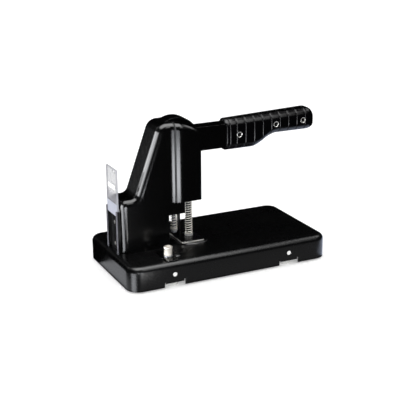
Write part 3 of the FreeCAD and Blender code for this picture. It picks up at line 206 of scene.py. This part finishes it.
for i, (x, y, length, width) in enumerate(joggle_floors):
    lit_floor("joggle_floor_%d" % i, x, y, length, width, 69.5, 24.0, (0.93, 0.95, 1.0))
lit_floor("spring_floor", -0.116, -0.20, 0.038, 0.14, 0, 10.0)
lit_floor("near_floor", 0.03, -0.118, 0.34, 0.075, 0, 0.45)
lit_floor("right_floor", 0.22, 0.05, 0.17, 0.30, 0, 2.0, (0.72, 0.80, 1.0))

# Flags: the two large left lamps are kept off the base and the gauge's plate, whose flat tops
# they would turn white when the machine is seen from its right.
flagged = bpy.data.collections.new("flagged")
for name in ("base_pan", "gauge_plate"):
    flagged.objects.link(nodes[name])
for entry in flagged.collection_objects:
    entry.light_linking.link_state = "EXCLUDE"
for name in ("left_box", "left_core"):
    bpy.data.objects[name].light_linking.receiver_collection = flagged


# Base: one pan of pressed steel, powder coated in black with a fine grain. The coat is worn to
# a dull grey along the rolled edge and the notches.
def coated(name, colour, worn, rough, rough_spread, grain_scale, grain_depth, edge=0.0008, wear=0.35,
           metallic=0.0, gloss=0.5, worn_metal=0.0):
    """Painted, moulded or machined finish: a grain, slow changes of roughness and worn edges."""
    material, shader, wire = new_surface(name)
    place = wire.node("ShaderNodeTexCoord", out=3)
    fine = wire.node("ShaderNodeTexNoise",
                     sockets={"Vector": place, "Scale": grain_scale, "Detail": 2.0})
    broad = wire.node("ShaderNodeTexNoise", sockets={"Vector": place, "Scale": 38.0, "Detail": 4.0})
    rounded = wire.node("ShaderNodeBevel", {"samples": 4}, {"Radius": edge})
    flat = wire.node("ShaderNodeNewGeometry", out=3)
    facing = wire.node("ShaderNodeVectorMath", {"operation": "DOT_PRODUCT"}, {0: rounded, 1: flat},
                       out=1)
    rubbed = ((1 - facing) * 5.0 * wear * (broad + 0.25)).held()
    wire.put(shader.inputs["Base Color"], rubbed.between((*colour, 1), (*worn, 1)))
    roughness = rough + (broad - 0.5) * rough_spread + (fine - 0.5) * 0.08
    wire.put(shader.inputs["Roughness"], roughness.held())
    if worn_metal:
        wire.put(shader.inputs["Metallic"], (rubbed * worn_metal).held())
    else:
        shader.inputs["Metallic"].default_value = metallic
    shader.inputs["Specular IOR Level"].default_value = gloss
    bump = wire.node("ShaderNodeBump", sockets={"Strength": 0.5, "Distance": grain_depth, "Height": fine,
                                               "Normal": rounded})
    wire.put(shader.inputs["Normal"], bump)
    return material


def paint(material, *names):
    """Gives a finish to CAD nodes."""
    for name in names:
        mesh = nodes[name].data
        mesh.materials.clear()
        mesh.materials.append(material)


powder_coat = coated("black_powder_coat", (0.0015, 0.0015, 0.002), (0.03, 0.03, 0.033), 0.28, 0.08,
                     1100.0, 0.00010, edge=0.0015, wear=0.25, gloss=0.3)
paint(powder_coat, "base_pan")

# Tower casing: one glossy black moulding over the steel frame, open at the front for the lever
# and through both sides for the paper. Its crease down each joggle is matt inside.
gloss_black = coated("black_gloss_moulding", (0.0008, 0.0008, 0.001), (0.012, 0.012, 0.014), 0.19, 0.04,
                     1600.0, 0.00002, edge=0.0006, wear=0.15, gloss=0.3)
crease_x = -61.8 * MM
crease_half = 0.9 * MM
wire = Wire(gloss_black.node_tree)
shader = gloss_black.node_tree.nodes["Principled BSDF"]
sheen = Wire(gloss_black.node_tree, shader.inputs["Roughness"].links[0].from_socket)
split = wire.node("ShaderNodeSeparateXYZ", sockets={0: wire.node("ShaderNodeTexCoord", out=3)})
inside = (1 - (abs(split - crease_x) - crease_half) * 4000.0).held()
wire.put(shader.inputs["Roughness"], (sheen + inside * 0.45).held())
paint(gloss_black, "tower_casing")

# Painted steel: the lever, the guide block, the foot's post and the gauge plate, in a thin satin
# enamel rubbed bright where it is handled.
satin_enamel = coated("black_satin_enamel", (0.0008, 0.0008, 0.001), (0.12, 0.12, 0.12), 0.20, 0.06, 700.0,
                      0.000015, edge=0.0004, wear=0.12, gloss=0.3, worn_metal=0.9)
paint(satin_enamel, "lever_channel", "guide_block", "foot_post", "gauge_plate")

# Rear channel: folded from sheet in the same enamel, with the front edges of its lips a lighter bluish grey
# in streaks.
channel_enamel = coated("enamel_with_grey_lips", (0.0008, 0.0008, 0.001), (0.12, 0.12, 0.12), 0.22,
                        0.06, 700.0, 0.000015, edge=0.0004, wear=0.12, gloss=0.3)
lips_front = -139.6 * MM
shader = channel_enamel.node_tree.nodes["Principled BSDF"]
wire = Wire(channel_enamel.node_tree)
plain_enamel = Wire(wire.tree, shader.inputs["Base Color"].links[0].from_socket)
place = wire.node("ShaderNodeTexCoord", out=3)
streaks = wire.node("ShaderNodeTexNoise", sockets={"Vector": place, "Scale": 260.0, "Detail": 3.0})
rubbed = ((wire.node("ShaderNodeSeparateXYZ", sockets={0: place}) - lips_front) * -3000.0).held()
rubbed = (rubbed * (streaks * 1.1 + 0.25)).held()
wire.put(shader.inputs["Base Color"], rubbed.between(plain_enamel, (0.20, 0.20, 0.23, 1)))
paint(channel_enamel, "chip_channel")

# Presser foot: a stamped plate in the same enamel with its cut rim left bare.
rim_enamel, shader, wire = new_surface("enamel_with_bare_rim")
place = wire.node("ShaderNodeTexCoord", out=3)
broad = wire.node("ShaderNodeTexNoise", sockets={"Vector": place, "Scale": 160.0, "Detail": 3.0})
split = wire.node("ShaderNodeSeparateXYZ", sockets={0: wire.node("ShaderNodeNewGeometry", out=3)}, out=2)
rim = ((0.6 - abs(split)) * 4.0 * (broad + 0.5)).held()
wire.put(shader.inputs["Base Color"], rim.between((0.003, 0.003, 0.004, 1), (0.75, 0.74, 0.70, 1)))
wire.put(shader.inputs["Metallic"], rim * 0.45)
wire.put(shader.inputs["Roughness"], 0.20 + broad * 0.12)
shader.inputs["Specular IOR Level"].default_value = 0.35
wire.put(shader.inputs["Normal"], wire.node("ShaderNodeBevel", {"samples": 4}, {"Radius": 0.0005}))
paint(rim_enamel, "foot_plate")

# Machined steel inside the tower: plates, guide, ram, rod, shaft and pinion, oiled and dark.
dark_steel = coated("oiled_steel", (0.13, 0.13, 0.14), (0.34, 0.34, 0.35), 0.34, 0.16, 420.0, 0.00003,
                    edge=0.0004, wear=0.6, metallic=1.0)
paint(dark_steel, "frame_plate_near", "frame_plate_far", "ram_guide", "ram_rack", "pivot_shaft",
      "pinion_key", "shaft_clips", "drive_pinion", "buffer_rod")

# Zinc plated steel: the plate under the base, and the bolts, nuts and screws.
zinc_steel = coated("zinc_plate", (0.50, 0.51, 0.54), (0.7, 0.7, 0.72), 0.32, 0.16, 300.0, 0.00002,
                    edge=0.0003, wear=0.5, metallic=0.8)
paint(zinc_steel, "base_stiffener", "foot_screws", "foot_nuts", "pad_seat", "casing_screws", "frame_spacers",
      "tie_bolts", "tie_nuts", "base_bolts", "base_nuts", "side_screws", "grip_nuts", "buffer_nut",
      "gauge_stud", "gauge_washer")

# Cutter: a ground steel tube, polished by use, its colour darkened as a painted shade for the shadow it
# stands in.
shaded_ground_steel = coated("shaded_ground_steel", (0.05, 0.05, 0.05), (0.3, 0.3, 0.3), 0.22, 0.06, 500.0, 0.00001,
                      edge=0.0002, wear=0.3, metallic=1.0)
paint(shaded_ground_steel, "punch_tube")

# Bright plated rings: the collar under the punch's spring and the buffer's washer.
bright_plate = coated("bright_plate", (0.82, 0.82, 0.80), (0.9, 0.9, 0.9), 0.16, 0.06, 500.0, 0.00001,
                      edge=0.0002, wear=0.3, metallic=0.6)
paint(bright_plate, "foot_collar", "buffer_washer")

# Bronze bushes, turned and pressed into the frame plates.
bronze = coated("turned_bronze", (0.45, 0.28, 0.13), (0.6, 0.42, 0.22), 0.34, 0.12, 500.0, 0.00002,
                edge=0.0003, metallic=1.0)
paint(bronze, "shaft_bushes")

# Cutting pad: a disc of hard nylon, scored by the cutter.
hard_nylon = coated("hard_nylon", (0.62, 0.60, 0.55), (0.5, 0.48, 0.42), 0.5, 0.15, 500.0, 0.00003,
                    edge=0.0003)
paint(hard_nylon, "cutting_pad")

# Clear slide: a strip of clear plastic gone milky, with a frosted band across it, matt cut edges and a
# painted shadow line across it at 99 mm. Below 113 mm it grows more opaque, a painted shade that greys it
# towards its foot. Below 98 mm, at the end that runs in the channel in front of the black tower, it is a
# near-opaque light lavender: a painted sheen of the left lamp's light scattered in the milky plastic.
clear_plastic, shader, wire = new_surface("clear_plastic")
place = wire.node("ShaderNodeTexCoord", out=3)
split = wire.node("ShaderNodeSeparateXYZ", sockets={0: place})
breadth = Wire(wire.tree, split.socket.node.outputs[1])
height = Wire(wire.tree, split.socket.node.outputs[2])
cloud = wire.node("ShaderNodeTexNoise", sockets={"Vector": place, "Scale": 90.0, "Detail": 3.0})
sharp = 2500.0
band = (((3.2 * MM - abs(height - 118.5 * MM)) * sharp).held()
        * ((12.0 * MM - abs(breadth + 0.8 * MM)) * sharp).held())
rim = ((abs(breadth) - 16.3 * MM) * sharp).held()
rim = rim.maths("MAXIMUM", rim, ((height - 141.0 * MM) * sharp).held())
# Painted shade: below 113 mm the strip grows more opaque, and so greyer, towards its foot.
rubbed = ((113.0 * MM - height) * 75.0).held() * (cloud * 0.5 + 0.15)
# Painted sheen: below 98 mm the strip is a near-opaque light lavender, standing in for lamp light scattered
# in it in front of the black tower.
painted_sheen_below = ((98.0 * MM - height) * sharp).held()
shadow = (((1.3 * MM - abs(height - 99.2 * MM)) * 1200.0).held()
          * ((13.0 * MM - abs(breadth)) * 1500.0).held())
milk = band.between((0.36, 0.36, 0.39, 1), (0.97, 0.97, 0.98, 1))
milk = painted_sheen_below.between(milk, (0.50, 0.52, 0.61, 1))
milk = (shadow * 0.8).between(milk, (0.05, 0.05, 0.06, 1))
wire.put(shader.inputs["Base Color"], (rim * 0.7).between(milk, (0.35, 0.36, 0.40, 1)))
wire.put(shader.inputs["Roughness"], (0.26 + cloud * 0.06 + band * 0.3).held())
cover = 0.33 + cloud * 0.04 + rubbed + (band + painted_sheen_below + shadow) * 0.6 + rim * 0.35
wire.put(shader.inputs["Alpha"], cover.held())
bump = wire.node("ShaderNodeBump", sockets={"Strength": 0.1, "Distance": 0.00005, "Height": cloud})
wire.put(shader.inputs["Normal"], bump)
shader.inputs["IOR"].default_value = 1.49
paint(clear_plastic, "clear_slide")


# Thumb knob: turned brass under satin nickel, with a knurled barrel, a plain rim and a dished
# top. It turns on the gauge's stud.
def ring_faces(rings, closed=False):
    """Faces of a tube through rings of equal length: capped, or joined back to its first ring."""
    count = len(rings[0])
    faces = []
    for i in range(len(rings) if closed else len(rings) - 1):
        k = (i + 1) % len(rings)
        for j in range(count):
            n = (j + 1) % count
            faces.append((i * count + j, i * count + n, k * count + n, k * count + j))
    if not closed:
        last = (len(rings) - 1) * count
        faces += [tuple(reversed(range(count))), tuple(range(last, last + count))]
    return faces


def solid_mesh(name, rings, closed=False):
    """Mesh in metres from rings of millimetre points, its faces turned outwards."""
    mesh = bpy.data.meshes.new(name)
    mesh.from_pydata([Vector(p) * MM for r in rings for p in r], [], ring_faces(rings, closed))
    shape = bmesh.new()
    shape.from_mesh(mesh)
    bmesh.ops.remove_doubles(shape, verts=shape.verts, dist=1e-7)
    bmesh.ops.recalc_face_normals(shape, faces=shape.faces)
    shape.to_mesh(mesh)
    shape.free()
    return mesh


def smooth(mesh, degrees=32):
    for face in mesh.polygons:
        face.use_smooth = True
    mesh.set_sharp_from_angle(angle=math.radians(degrees))


def turned(name, profile, axis="z", middle=(0, 0, 0), count=64, closed=False):
    """Solid of revolution. A profile point is (radius, place along the axis, radius at an angle)."""
    rings = []
    for point in profile:
        ring = []
        for i in range(count):
            angle = 2 * math.pi * i / count
            radius = point[2](angle) if len(point) > 2 else point[0]
            a, b = radius * math.cos(angle), radius * math.sin(angle)
            spot = {"x": (point[1], a, b), "y": (a, point[1], b), "z": (a, b, point[1])}[axis]
            ring.append(Vector(spot) + Vector(middle))
        rings.append(ring)
    return solid_mesh(name, rings, closed)


gauge_x = -87.7
knob_low = 36.05
knob_top = 47.05


def knurl(angle):
    return 5.1 - 0.13 * (1 - math.cos(36 * angle))


profile = [(2.55, 43.3), (2.55, knob_low), (4.6, knob_low), (4.95, knob_low + 0.2), (5.1, knob_low + 0.5),
           (5.1, knob_low + 0.9), (5.1, knob_low + 1.1, knurl), (5.1, knob_low + 8.0, knurl),
           (5.1, knob_low + 8.2), (5.1, knob_low + 8.5), (4.85, knob_low + 8.7), (4.85, knob_low + 8.9),
           (5.45, knob_low + 9.05), (5.65, knob_low + 9.3), (5.65, knob_top - 0.45), (5.5, knob_top - 0.12),
           (5.2, knob_top), (4.3, knob_top), (4.0, knob_top - 0.15), (3.9, knob_top - 0.5),
           (3.9, knob_top - 1.4), (3.7, knob_top - 1.6)]
nickel_plate = coated("satin_nickel", (0.60, 0.575, 0.53), (0.7, 0.6, 0.42), 0.34, 0.10, 600.0, 0.00001,
                      edge=0.0003, wear=0.4, metallic=0.3)
mesh = turned("thumb_knob_turned", profile, middle=(gauge_x, -54.0, 0), count=180)
smooth(mesh, 40)
knob = link_mesh("thumb_knob_turned", mesh, nickel_plate)
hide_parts("thumb_knob")
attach(knob, "gauge_knob")

# Grip: two moulded halves screwed together round the arm. Ten rounded grooves run round it, and
# a fine groove marks where the halves meet.
grip_start = 16.3
grip_end = 146.7
grip_nose = 12.0
grip_grooves = (20.8, 30.3, 42.9, 55.5, 68.1, 80.7, 93.3, 105.9, 118.5, 131.1)
groove_depth = 0.55
groove_shape = ((0.0, 1.0), (0.28, 0.86), (0.5, 0.3), (0.75, 0.05), (1.1, 0.0))
pocket_half = 10.2


def grip_outline(x):
    """Half width, low edge, high edge and corner radius at one place along the grip."""
    share = (x - grip_start) / (grip_end - grip_start)
    rise = min(1.0, max(0.0, (x - 53.3) / 37.0))
    nose = max(0.0, x - grip_end + grip_nose) / grip_nose
    pinch = grip_nose * (1 - math.sqrt(max(0.0, 1 - nose * nose)))
    low = 145.7 + 15.0 * (1 - math.cos(math.pi * rise)) / 2
    return (12.5 + 2.0 * share - 0.65 * pinch, low + 0.45 * pinch, 187.2 + 3.8 * share - pinch,
            max(1.5, 11.0 - 0.65 * pinch))


def grip_stations():
    """Places along the grip with how deep each lies below the outline."""
    stations = {grip_start: 0.7, grip_start + 0.2: 0.25, grip_start + 0.7: 0.0}
    for groove in grip_grooves:
        for reach, depth in groove_shape:
            for side in (-1, 1):
                stations[round(groove + side * reach, 4)] = depth * groove_depth
    for i in range(1, 30):
        x = grip_start + 1 + i * 4.05
        if all(abs(x - g) > 1.6 for g in grip_grooves) and x < grip_end - grip_nose:
            stations[round(x, 4)] = 0.0
    for share in (0.0, 0.2, 0.38, 0.54, 0.67, 0.78, 0.87, 0.93, 0.97, 0.985):
        stations[grip_end - grip_nose + grip_nose * share] = 0.0
    return sorted(stations.items())


def grip_shell(side):
    """One half as a closed solid, before its pocket and screw seats are cut."""
    rings = []
    corner_steps = 10
    for x, depth in grip_stations():
        half, low, high, radius = grip_outline(x)
        half, low, high, radius = half - depth, low + depth, high - depth, max(0.8, radius - depth)
        ring = [(x, 0, low + 0.35), (x, side * 0.3, low)]
        for middle_z, start in ((low + radius, -90), (high - radius, 0)):
            for i in range(corner_steps + 1):
                turn = math.radians(start + 90 * i / corner_steps)
                ring.append((x, side * (half - radius + radius * math.cos(turn)),
                             middle_z + radius * math.sin(turn)))
        ring += [(x, side * 0.3, high), (x, 0, high - 0.35)]
        rings.append(ring)
    return solid_mesh("grip_shell", rings)


def prism(outline, start, end):
    """Solid from an outline in XZ drawn out between two places on Y."""
    return solid_mesh("prism", [[(a, y, b) for a, b in outline] for y in (start, end)])


def polygon(middle, radius, count):
    return [(middle[0] + radius * math.cos(2 * math.pi * i / count),
             middle[1] + radius * math.sin(2 * math.pi * i / count)) for i in range(count)]


def cut_away(mesh, cutters, material):
    """The mesh less the cutters."""
    piece = link_mesh("cutting", mesh, material)
    for cutter in cutters:
        tool = link_mesh("cutter", cutter, material)
        cut = piece.modifiers.new("cut", "BOOLEAN")
        cut.operation = "DIFFERENCE"
        cut.solver = "EXACT"
        cut.object = tool
        bpy.context.view_layer.update()
        result = bpy.data.meshes.new_from_object(piece.evaluated_get(bpy.context.evaluated_depsgraph_get()))
        piece.modifiers.remove(cut)
        piece.data = result
        bpy.data.objects.remove(tool)
    bpy.data.objects.remove(piece)
    return result


grip_plastic = coated("black_grip_plastic", (0.001, 0.001, 0.0015), (0.05, 0.05, 0.055), 0.20, 0.05, 1300.0,
                      0.00003, edge=0.0004, wear=0.5, gloss=0.2)
arm_space = [(grip_start - 1, 150.5), (53.3, 150.5), (87.3, 162.8), (136.5, 162.8), (136.5, 181.9),
             (grip_start - 1, 181.9)]
screw_seats = ((34.3, 166.0), (87.76, 174.0), (128.31, 175.0))
seat_depth = 2.1
for side, name in ((-1, "grip_near"), (1, "grip_far")):
    cutters = [prism(arm_space, -pocket_half, pocket_half)]
    for x, z in screw_seats:
        half = grip_outline(x)[0]
        seat = polygon((x, z), 4.1, 32) if side < 0 else polygon((x, z), 4.0, 6)
        cutters.append(prism(seat, side * (half - seat_depth), side * 30))
        cutters.append(prism(polygon((x, z), 2.05, 24), 0, side * 30))
    mesh = cut_away(grip_shell(side), cutters, grip_plastic)
    smooth(mesh)
    piece = link_mesh(name + "_moulding", mesh, grip_plastic)
    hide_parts(name)
    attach(piece, "lever")


# Grip screws: three plated socket screws in sunk seats on the near side, each long enough to
# reach its nut on the far side.
def repeated(name, units, spots, material):
    """Copies of each unit on every spot, made by a Geometry Nodes tree.

    A spot is (x, y, z, turn about Z, stretch along Y), and a unit is (mesh, whether it stretches).
    """
    tree = bpy.data.node_groups.new(name, "GeometryNodeTree")
    spot_socket = tree.interface.new_socket("Spots", in_out="INPUT", socket_type="NodeSocketGeometry")
    unit_sockets = [tree.interface.new_socket("Unit %d" % i, in_out="INPUT", socket_type="NodeSocketObject")
                    for i in range(len(units))]
    tree.interface.new_socket("Geometry", in_out="OUTPUT", socket_type="NodeSocketGeometry")
    start = Wire(tree)
    given = tree.nodes.new("NodeGroupInput")
    turn = start.node("GeometryNodeInputNamedAttribute", {"data_type": "FLOAT"}, {"Name": "turn"})
    reach = start.node("GeometryNodeInputNamedAttribute", {"data_type": "FLOAT"}, {"Name": "reach"})
    rotation = start.node("ShaderNodeCombineXYZ", sockets={2: turn})
    gather = tree.nodes.new("GeometryNodeJoinGeometry")
    for i, (mesh, stretches) in enumerate(units):
        unit = start.node("GeometryNodeObjectInfo", sockets={"Object": Wire(tree, given.outputs[i + 1])},
                          out="Geometry")
        scale = start.node("ShaderNodeCombineXYZ", sockets={0: 1.0, 1: reach if stretches else 1.0, 2: 1.0})
        copies = start.node("GeometryNodeInstanceOnPoints", sockets={
            "Points": Wire(tree, given.outputs[0]), "Instance": unit, "Rotation": rotation, "Scale": scale})
        tree.links.new(copies.socket, gather.inputs[0])
    whole = start.node("GeometryNodeRealizeInstances", sockets={"Geometry": Wire(tree, gather.outputs[0])})
    whole = start.node("GeometryNodeSetMaterial", sockets={"Geometry": whole, "Material": material})
    leave = tree.nodes.new("NodeGroupOutput")
    tree.links.new(whole.socket, leave.inputs[0])
    points = bpy.data.meshes.new("spots")
    points.from_pydata([Vector(s[:3]) * MM for s in spots], [], [])
    for label, column in (("turn", 3), ("reach", 4)):
        values = points.attributes.new(label, "FLOAT", "POINT")
        for i, spot in enumerate(spots):
            values.data[i].value = spot[column]
    holder = link_mesh("spots", points, material)
    maker = holder.modifiers.new("copies", "NODES")
    maker.node_group = tree
    tools = [link_mesh("unit", mesh, material) for mesh, stretches in units]
    for socket, tool in zip(unit_sockets, tools):
        maker[socket.identifier] = tool
    bpy.context.view_layer.update()
    result = bpy.data.meshes.new_from_object(holder.evaluated_get(bpy.context.evaluated_depsgraph_get()))
    for made in [holder] + tools:
        bpy.data.objects.remove(made)
    return link_mesh(name, result, material)


def hexagonal(radius):
    """Radius of a hexagon at an angle, given its corners' radius."""
    flat = radius * math.cos(math.pi / 6)
    return lambda angle: flat / math.cos((angle + math.pi / 6) % (math.pi / 3) - math.pi / 6)


socket_shape = hexagonal(2.0)
head = turned("screw_head", [(1.9, 0.4), (3.7, 0.0), (3.95, -0.2), (4.0, -1.2), (3.95, -1.5), (3.75, -1.72),
                             (3.5, -1.8), (3.2, -1.76), (3.0, -1.6), (2.8, -1.35), (2.2, -1.3),
                             (2.0, -1.2, socket_shape), (2.0, -0.6, socket_shape)], axis="y", count=48)
shank = turned("screw_shank", [(1.97, 0.0), (1.97, 1.0)], axis="y", count=24)
for unit in (head, shank):
    smooth(unit, 40)
screw_plate = coated("screw_plate", (0.70, 0.69, 0.66), (0.9, 0.9, 0.9), 0.22, 0.08, 500.0, 0.00001,
                     edge=0.0002, wear=0.3, metallic=0.6)
shader = screw_plate.node_tree.nodes["Principled BSDF"]
wire = Wire(screw_plate.node_tree)
unshaded_plate = Wire(wire.tree, shader.inputs["Base Color"].links[0].from_socket)
split = wire.node("ShaderNodeSeparateXYZ", sockets={0: wire.node("ShaderNodeTexCoord", out=3)})
breadth = Wire(wire.tree, split.socket.node.outputs[1])
# Painted shade in the sunk seats: wherever the screw lies more than about 0.6 mm inside the grip's side it is
# painted near black.
rim = 12.5 * MM + (split - grip_start * MM) * (2.0 / (grip_end - grip_start)) - 0.3 * MM
recess_shade = ((rim - abs(breadth) - 0.28 * MM) * 9000.0).held()
wire.put(shader.inputs["Base Color"], recess_shade.between(unshaded_plate, (0.012, 0.012, 0.012, 1)))
spots = []
for x, z in screw_seats:
    seat = grip_outline(x)[0] - seat_depth
    spots.append((x, -seat, z, 0.0, 2 * seat + 2.0))
screws = repeated("grip_screw_set", ((head, False), (shank, True)), spots, screw_plate)
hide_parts("grip_screws")
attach(screws, "lever")

# Side plugs: snapped in nylon plugs with a low dome, two in each long flange.
plug = turned("plug", [(4.3, 3.4), (4.4, 3.2), (4.4, 1.75), (4.2, 1.6), (3.0, 1.6), (3.0, 0.55), (2.9, 0.4),
                       (2.4, 0.22), (1.6, 0.08), (0.6, 0.01)], axis="y", count=40)
smooth(plug, 40)
foot_places = (-87.7, 74.3)
white_nylon = coated("white_nylon", (0.88, 0.88, 0.87), (0.7, 0.7, 0.68), 0.35, 0.10, 500.0, 0.00003,
                     edge=0.0003)
spots = [(x, side * 75.0, 17.4, 0.0 if side < 0 else math.pi, 1.0)
         for x in foot_places for side in (-1, 1)]
plugs = repeated("side_plug_set", ((plug, False),), spots, white_nylon)
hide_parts("side_plugs")
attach(plugs, "stand")

# Feet: soft translucent rubber rings with a sunk middle for the screw and a groove round them.
foot = turned("foot", [(2.1, 6.8), (8.6, 6.8), (8.95, 6.5), (9.0, 4.7), (8.6, 4.4), (8.6, 4.0), (9.0, 3.7),
                       (9.0, 1.0), (8.7, 0.3), (8.0, 0.0), (5.4, 0.0), (5.05, 0.4), (5.0, 3.4), (2.1, 3.4)],
              count=56, closed=True)
smooth(foot, 40)
soft_rubber = coated("foot_rubber", (0.78, 0.78, 0.76), (0.6, 0.6, 0.58), 0.45, 0.15, 400.0, 0.00004,
                     edge=0.0006)
spots = [(x, side * 61.0, 0.0, 0.0, 1.0) for x in foot_places for side in (-1, 1)]
feet = repeated("rubber_foot_set", ((foot, False),), spots, soft_rubber)
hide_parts("rubber_feet")
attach(feet, "stand")

# Channel rivets: two brass rivets set through the channel's web, painted over and rubbed bare
# on their crowns.
rivet = turned("rivet", [(0.5, -137.15), (1.6, -137.1), (2.3, -136.98), (2.6, -136.85), (1.5, -135.7),
                         (1.5, -133.7), (2.7, -133.7), (2.7, -132.8), (2.2, -132.4), (0.8, -132.3)],
               axis="x", count=36)
smooth(rivet, 40)
painted_brass = coated("painted_brass", (0.012, 0.009, 0.005), (0.28, 0.19, 0.08), 0.42, 0.12, 500.0, 0.00002,
                       edge=0.0005, wear=0.5, worn_metal=0.9)
spots = [(0.0, 0.0, z, 0.0, 1.0) for z in (42.0, 70.5)]
rivets = repeated("channel_rivet_set", ((rivet, False),), spots, painted_brass)
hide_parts("channel_rivets")
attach(rivets, "stand")


# Springs: bright wire wound with a closed coil at each end. The long one surrounds the cutter and the short
# one the buffer rod; on the punch the long one shortens when the foot rises, but here both are only carried
# with the ram.
def spring_mesh(name, radius, wire_radius, turns, height, middle, low, material):
    """Wire wound along a rule of its own turns, made by a Geometry Nodes tree."""
    tree = bpy.data.node_groups.new(name, "GeometryNodeTree")
    sizes = {"Radius": radius, "Wire": wire_radius, "Turns": turns, "Height": height}
    sockets = {}
    for label, value in sizes.items():
        sockets[label] = tree.interface.new_socket(label, in_out="INPUT", socket_type="NodeSocketFloat")
    tree.interface.new_socket("Geometry", in_out="OUTPUT", socket_type="NodeSocketGeometry")
    start = Wire(tree)
    given = tree.nodes.new("NodeGroupInput")
    size = {label: Wire(tree, given.outputs[label]) for label in sizes}
    turn_steps = 28
    steps = int(turns * turn_steps)
    line = start.node("GeometryNodeCurvePrimitiveLine")
    line = start.node("GeometryNodeResampleCurve", sockets={"Curve": line, "Count": steps + 1})
    turn = start.node("GeometryNodeInputIndex") * (1.0 / steps) * size["Turns"]
    closed = 1.25
    flat_pitch = size["Wire"] * 2.06
    room = size["Height"] - size["Wire"] * 2.0
    open_turns = size["Turns"] - 2 * closed
    open_pitch = start.maths("DIVIDE", room - flat_pitch * (2 * closed), open_turns)
    first = turn.maths("MINIMUM", turn, closed)
    inner = turn.maths("MAXIMUM", turn - closed, 0.0)
    inner = inner.maths("MINIMUM", inner, open_turns)
    last = turn.maths("MAXIMUM", turn - size["Turns"] + closed, 0.0)
    z = (first + last) * flat_pitch + inner * open_pitch + size["Wire"]
    angle = turn * (2 * math.pi)
    x = start.maths("COSINE", angle) * size["Radius"]
    y = start.maths("SINE", angle) * size["Radius"]
    spot = start.node("ShaderNodeCombineXYZ", sockets={0: x, 1: y, 2: z})
    line = start.node("GeometryNodeSetPosition", sockets={"Geometry": line, "Position": spot})
    section = start.node("GeometryNodeCurvePrimitiveCircle",
                         sockets={"Resolution": 10, "Radius": size["Wire"]})
    coil = start.node("GeometryNodeCurveToMesh", sockets={"Curve": line, "Profile Curve": section,
                                                          "Fill Caps": True})
    coil = start.node("GeometryNodeTransform", sockets={"Geometry": coil, "Translation": (middle, 0, low)})
    coil = start.node("GeometryNodeRealizeInstances", sockets={"Geometry": coil})
    coil = start.node("GeometryNodeSetMaterial", sockets={"Geometry": coil, "Material": material})
    leave = tree.nodes.new("NodeGroupOutput")
    tree.links.new(coil.socket, leave.inputs[0])
    holder = link_mesh("winding", bpy.data.meshes.new("winding"), material)
    maker = holder.modifiers.new("winding", "NODES")
    maker.node_group = tree
    for label, value in sizes.items():
        maker[sockets[label].identifier] = float(value)
    bpy.context.view_layer.update()
    mesh = bpy.data.meshes.new_from_object(holder.evaluated_get(bpy.context.evaluated_depsgraph_get()))
    bpy.data.objects.remove(holder)
    smooth(mesh, 60)
    return mesh


spring_wire = coated("spring_wire", (0.97, 0.94, 0.86), (0.95, 0.95, 0.93), 0.16, 0.06, 600.0, 0.00001,
                     edge=0.0001, wear=0.2, metallic=0.25)
punch_x = -34.4 * MM
buffer_x = -55.4 * MM
springs = (("punch_spring", 4.5, 0.55, 19, punch_x, 38.4, 94.0, "foot_slide", 94.0, 7.0),
           ("buffer_spring", 4.0, 0.5, 8, buffer_x, 48.0, 71.5, "ram_slide", 48.0, 15.08))
for name, radius, wire_radius, turns, middle, low, high, joint, anchor, travel in springs:
    length = high - low
    mesh = spring_mesh(name, radius * MM, wire_radius * MM, turns, length * MM, middle, low * MM,
                       spring_wire)
    piece = link_mesh(name + "_coil", mesh, spring_wire)
    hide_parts(name)
    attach(piece, "ram")
    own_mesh(piece)
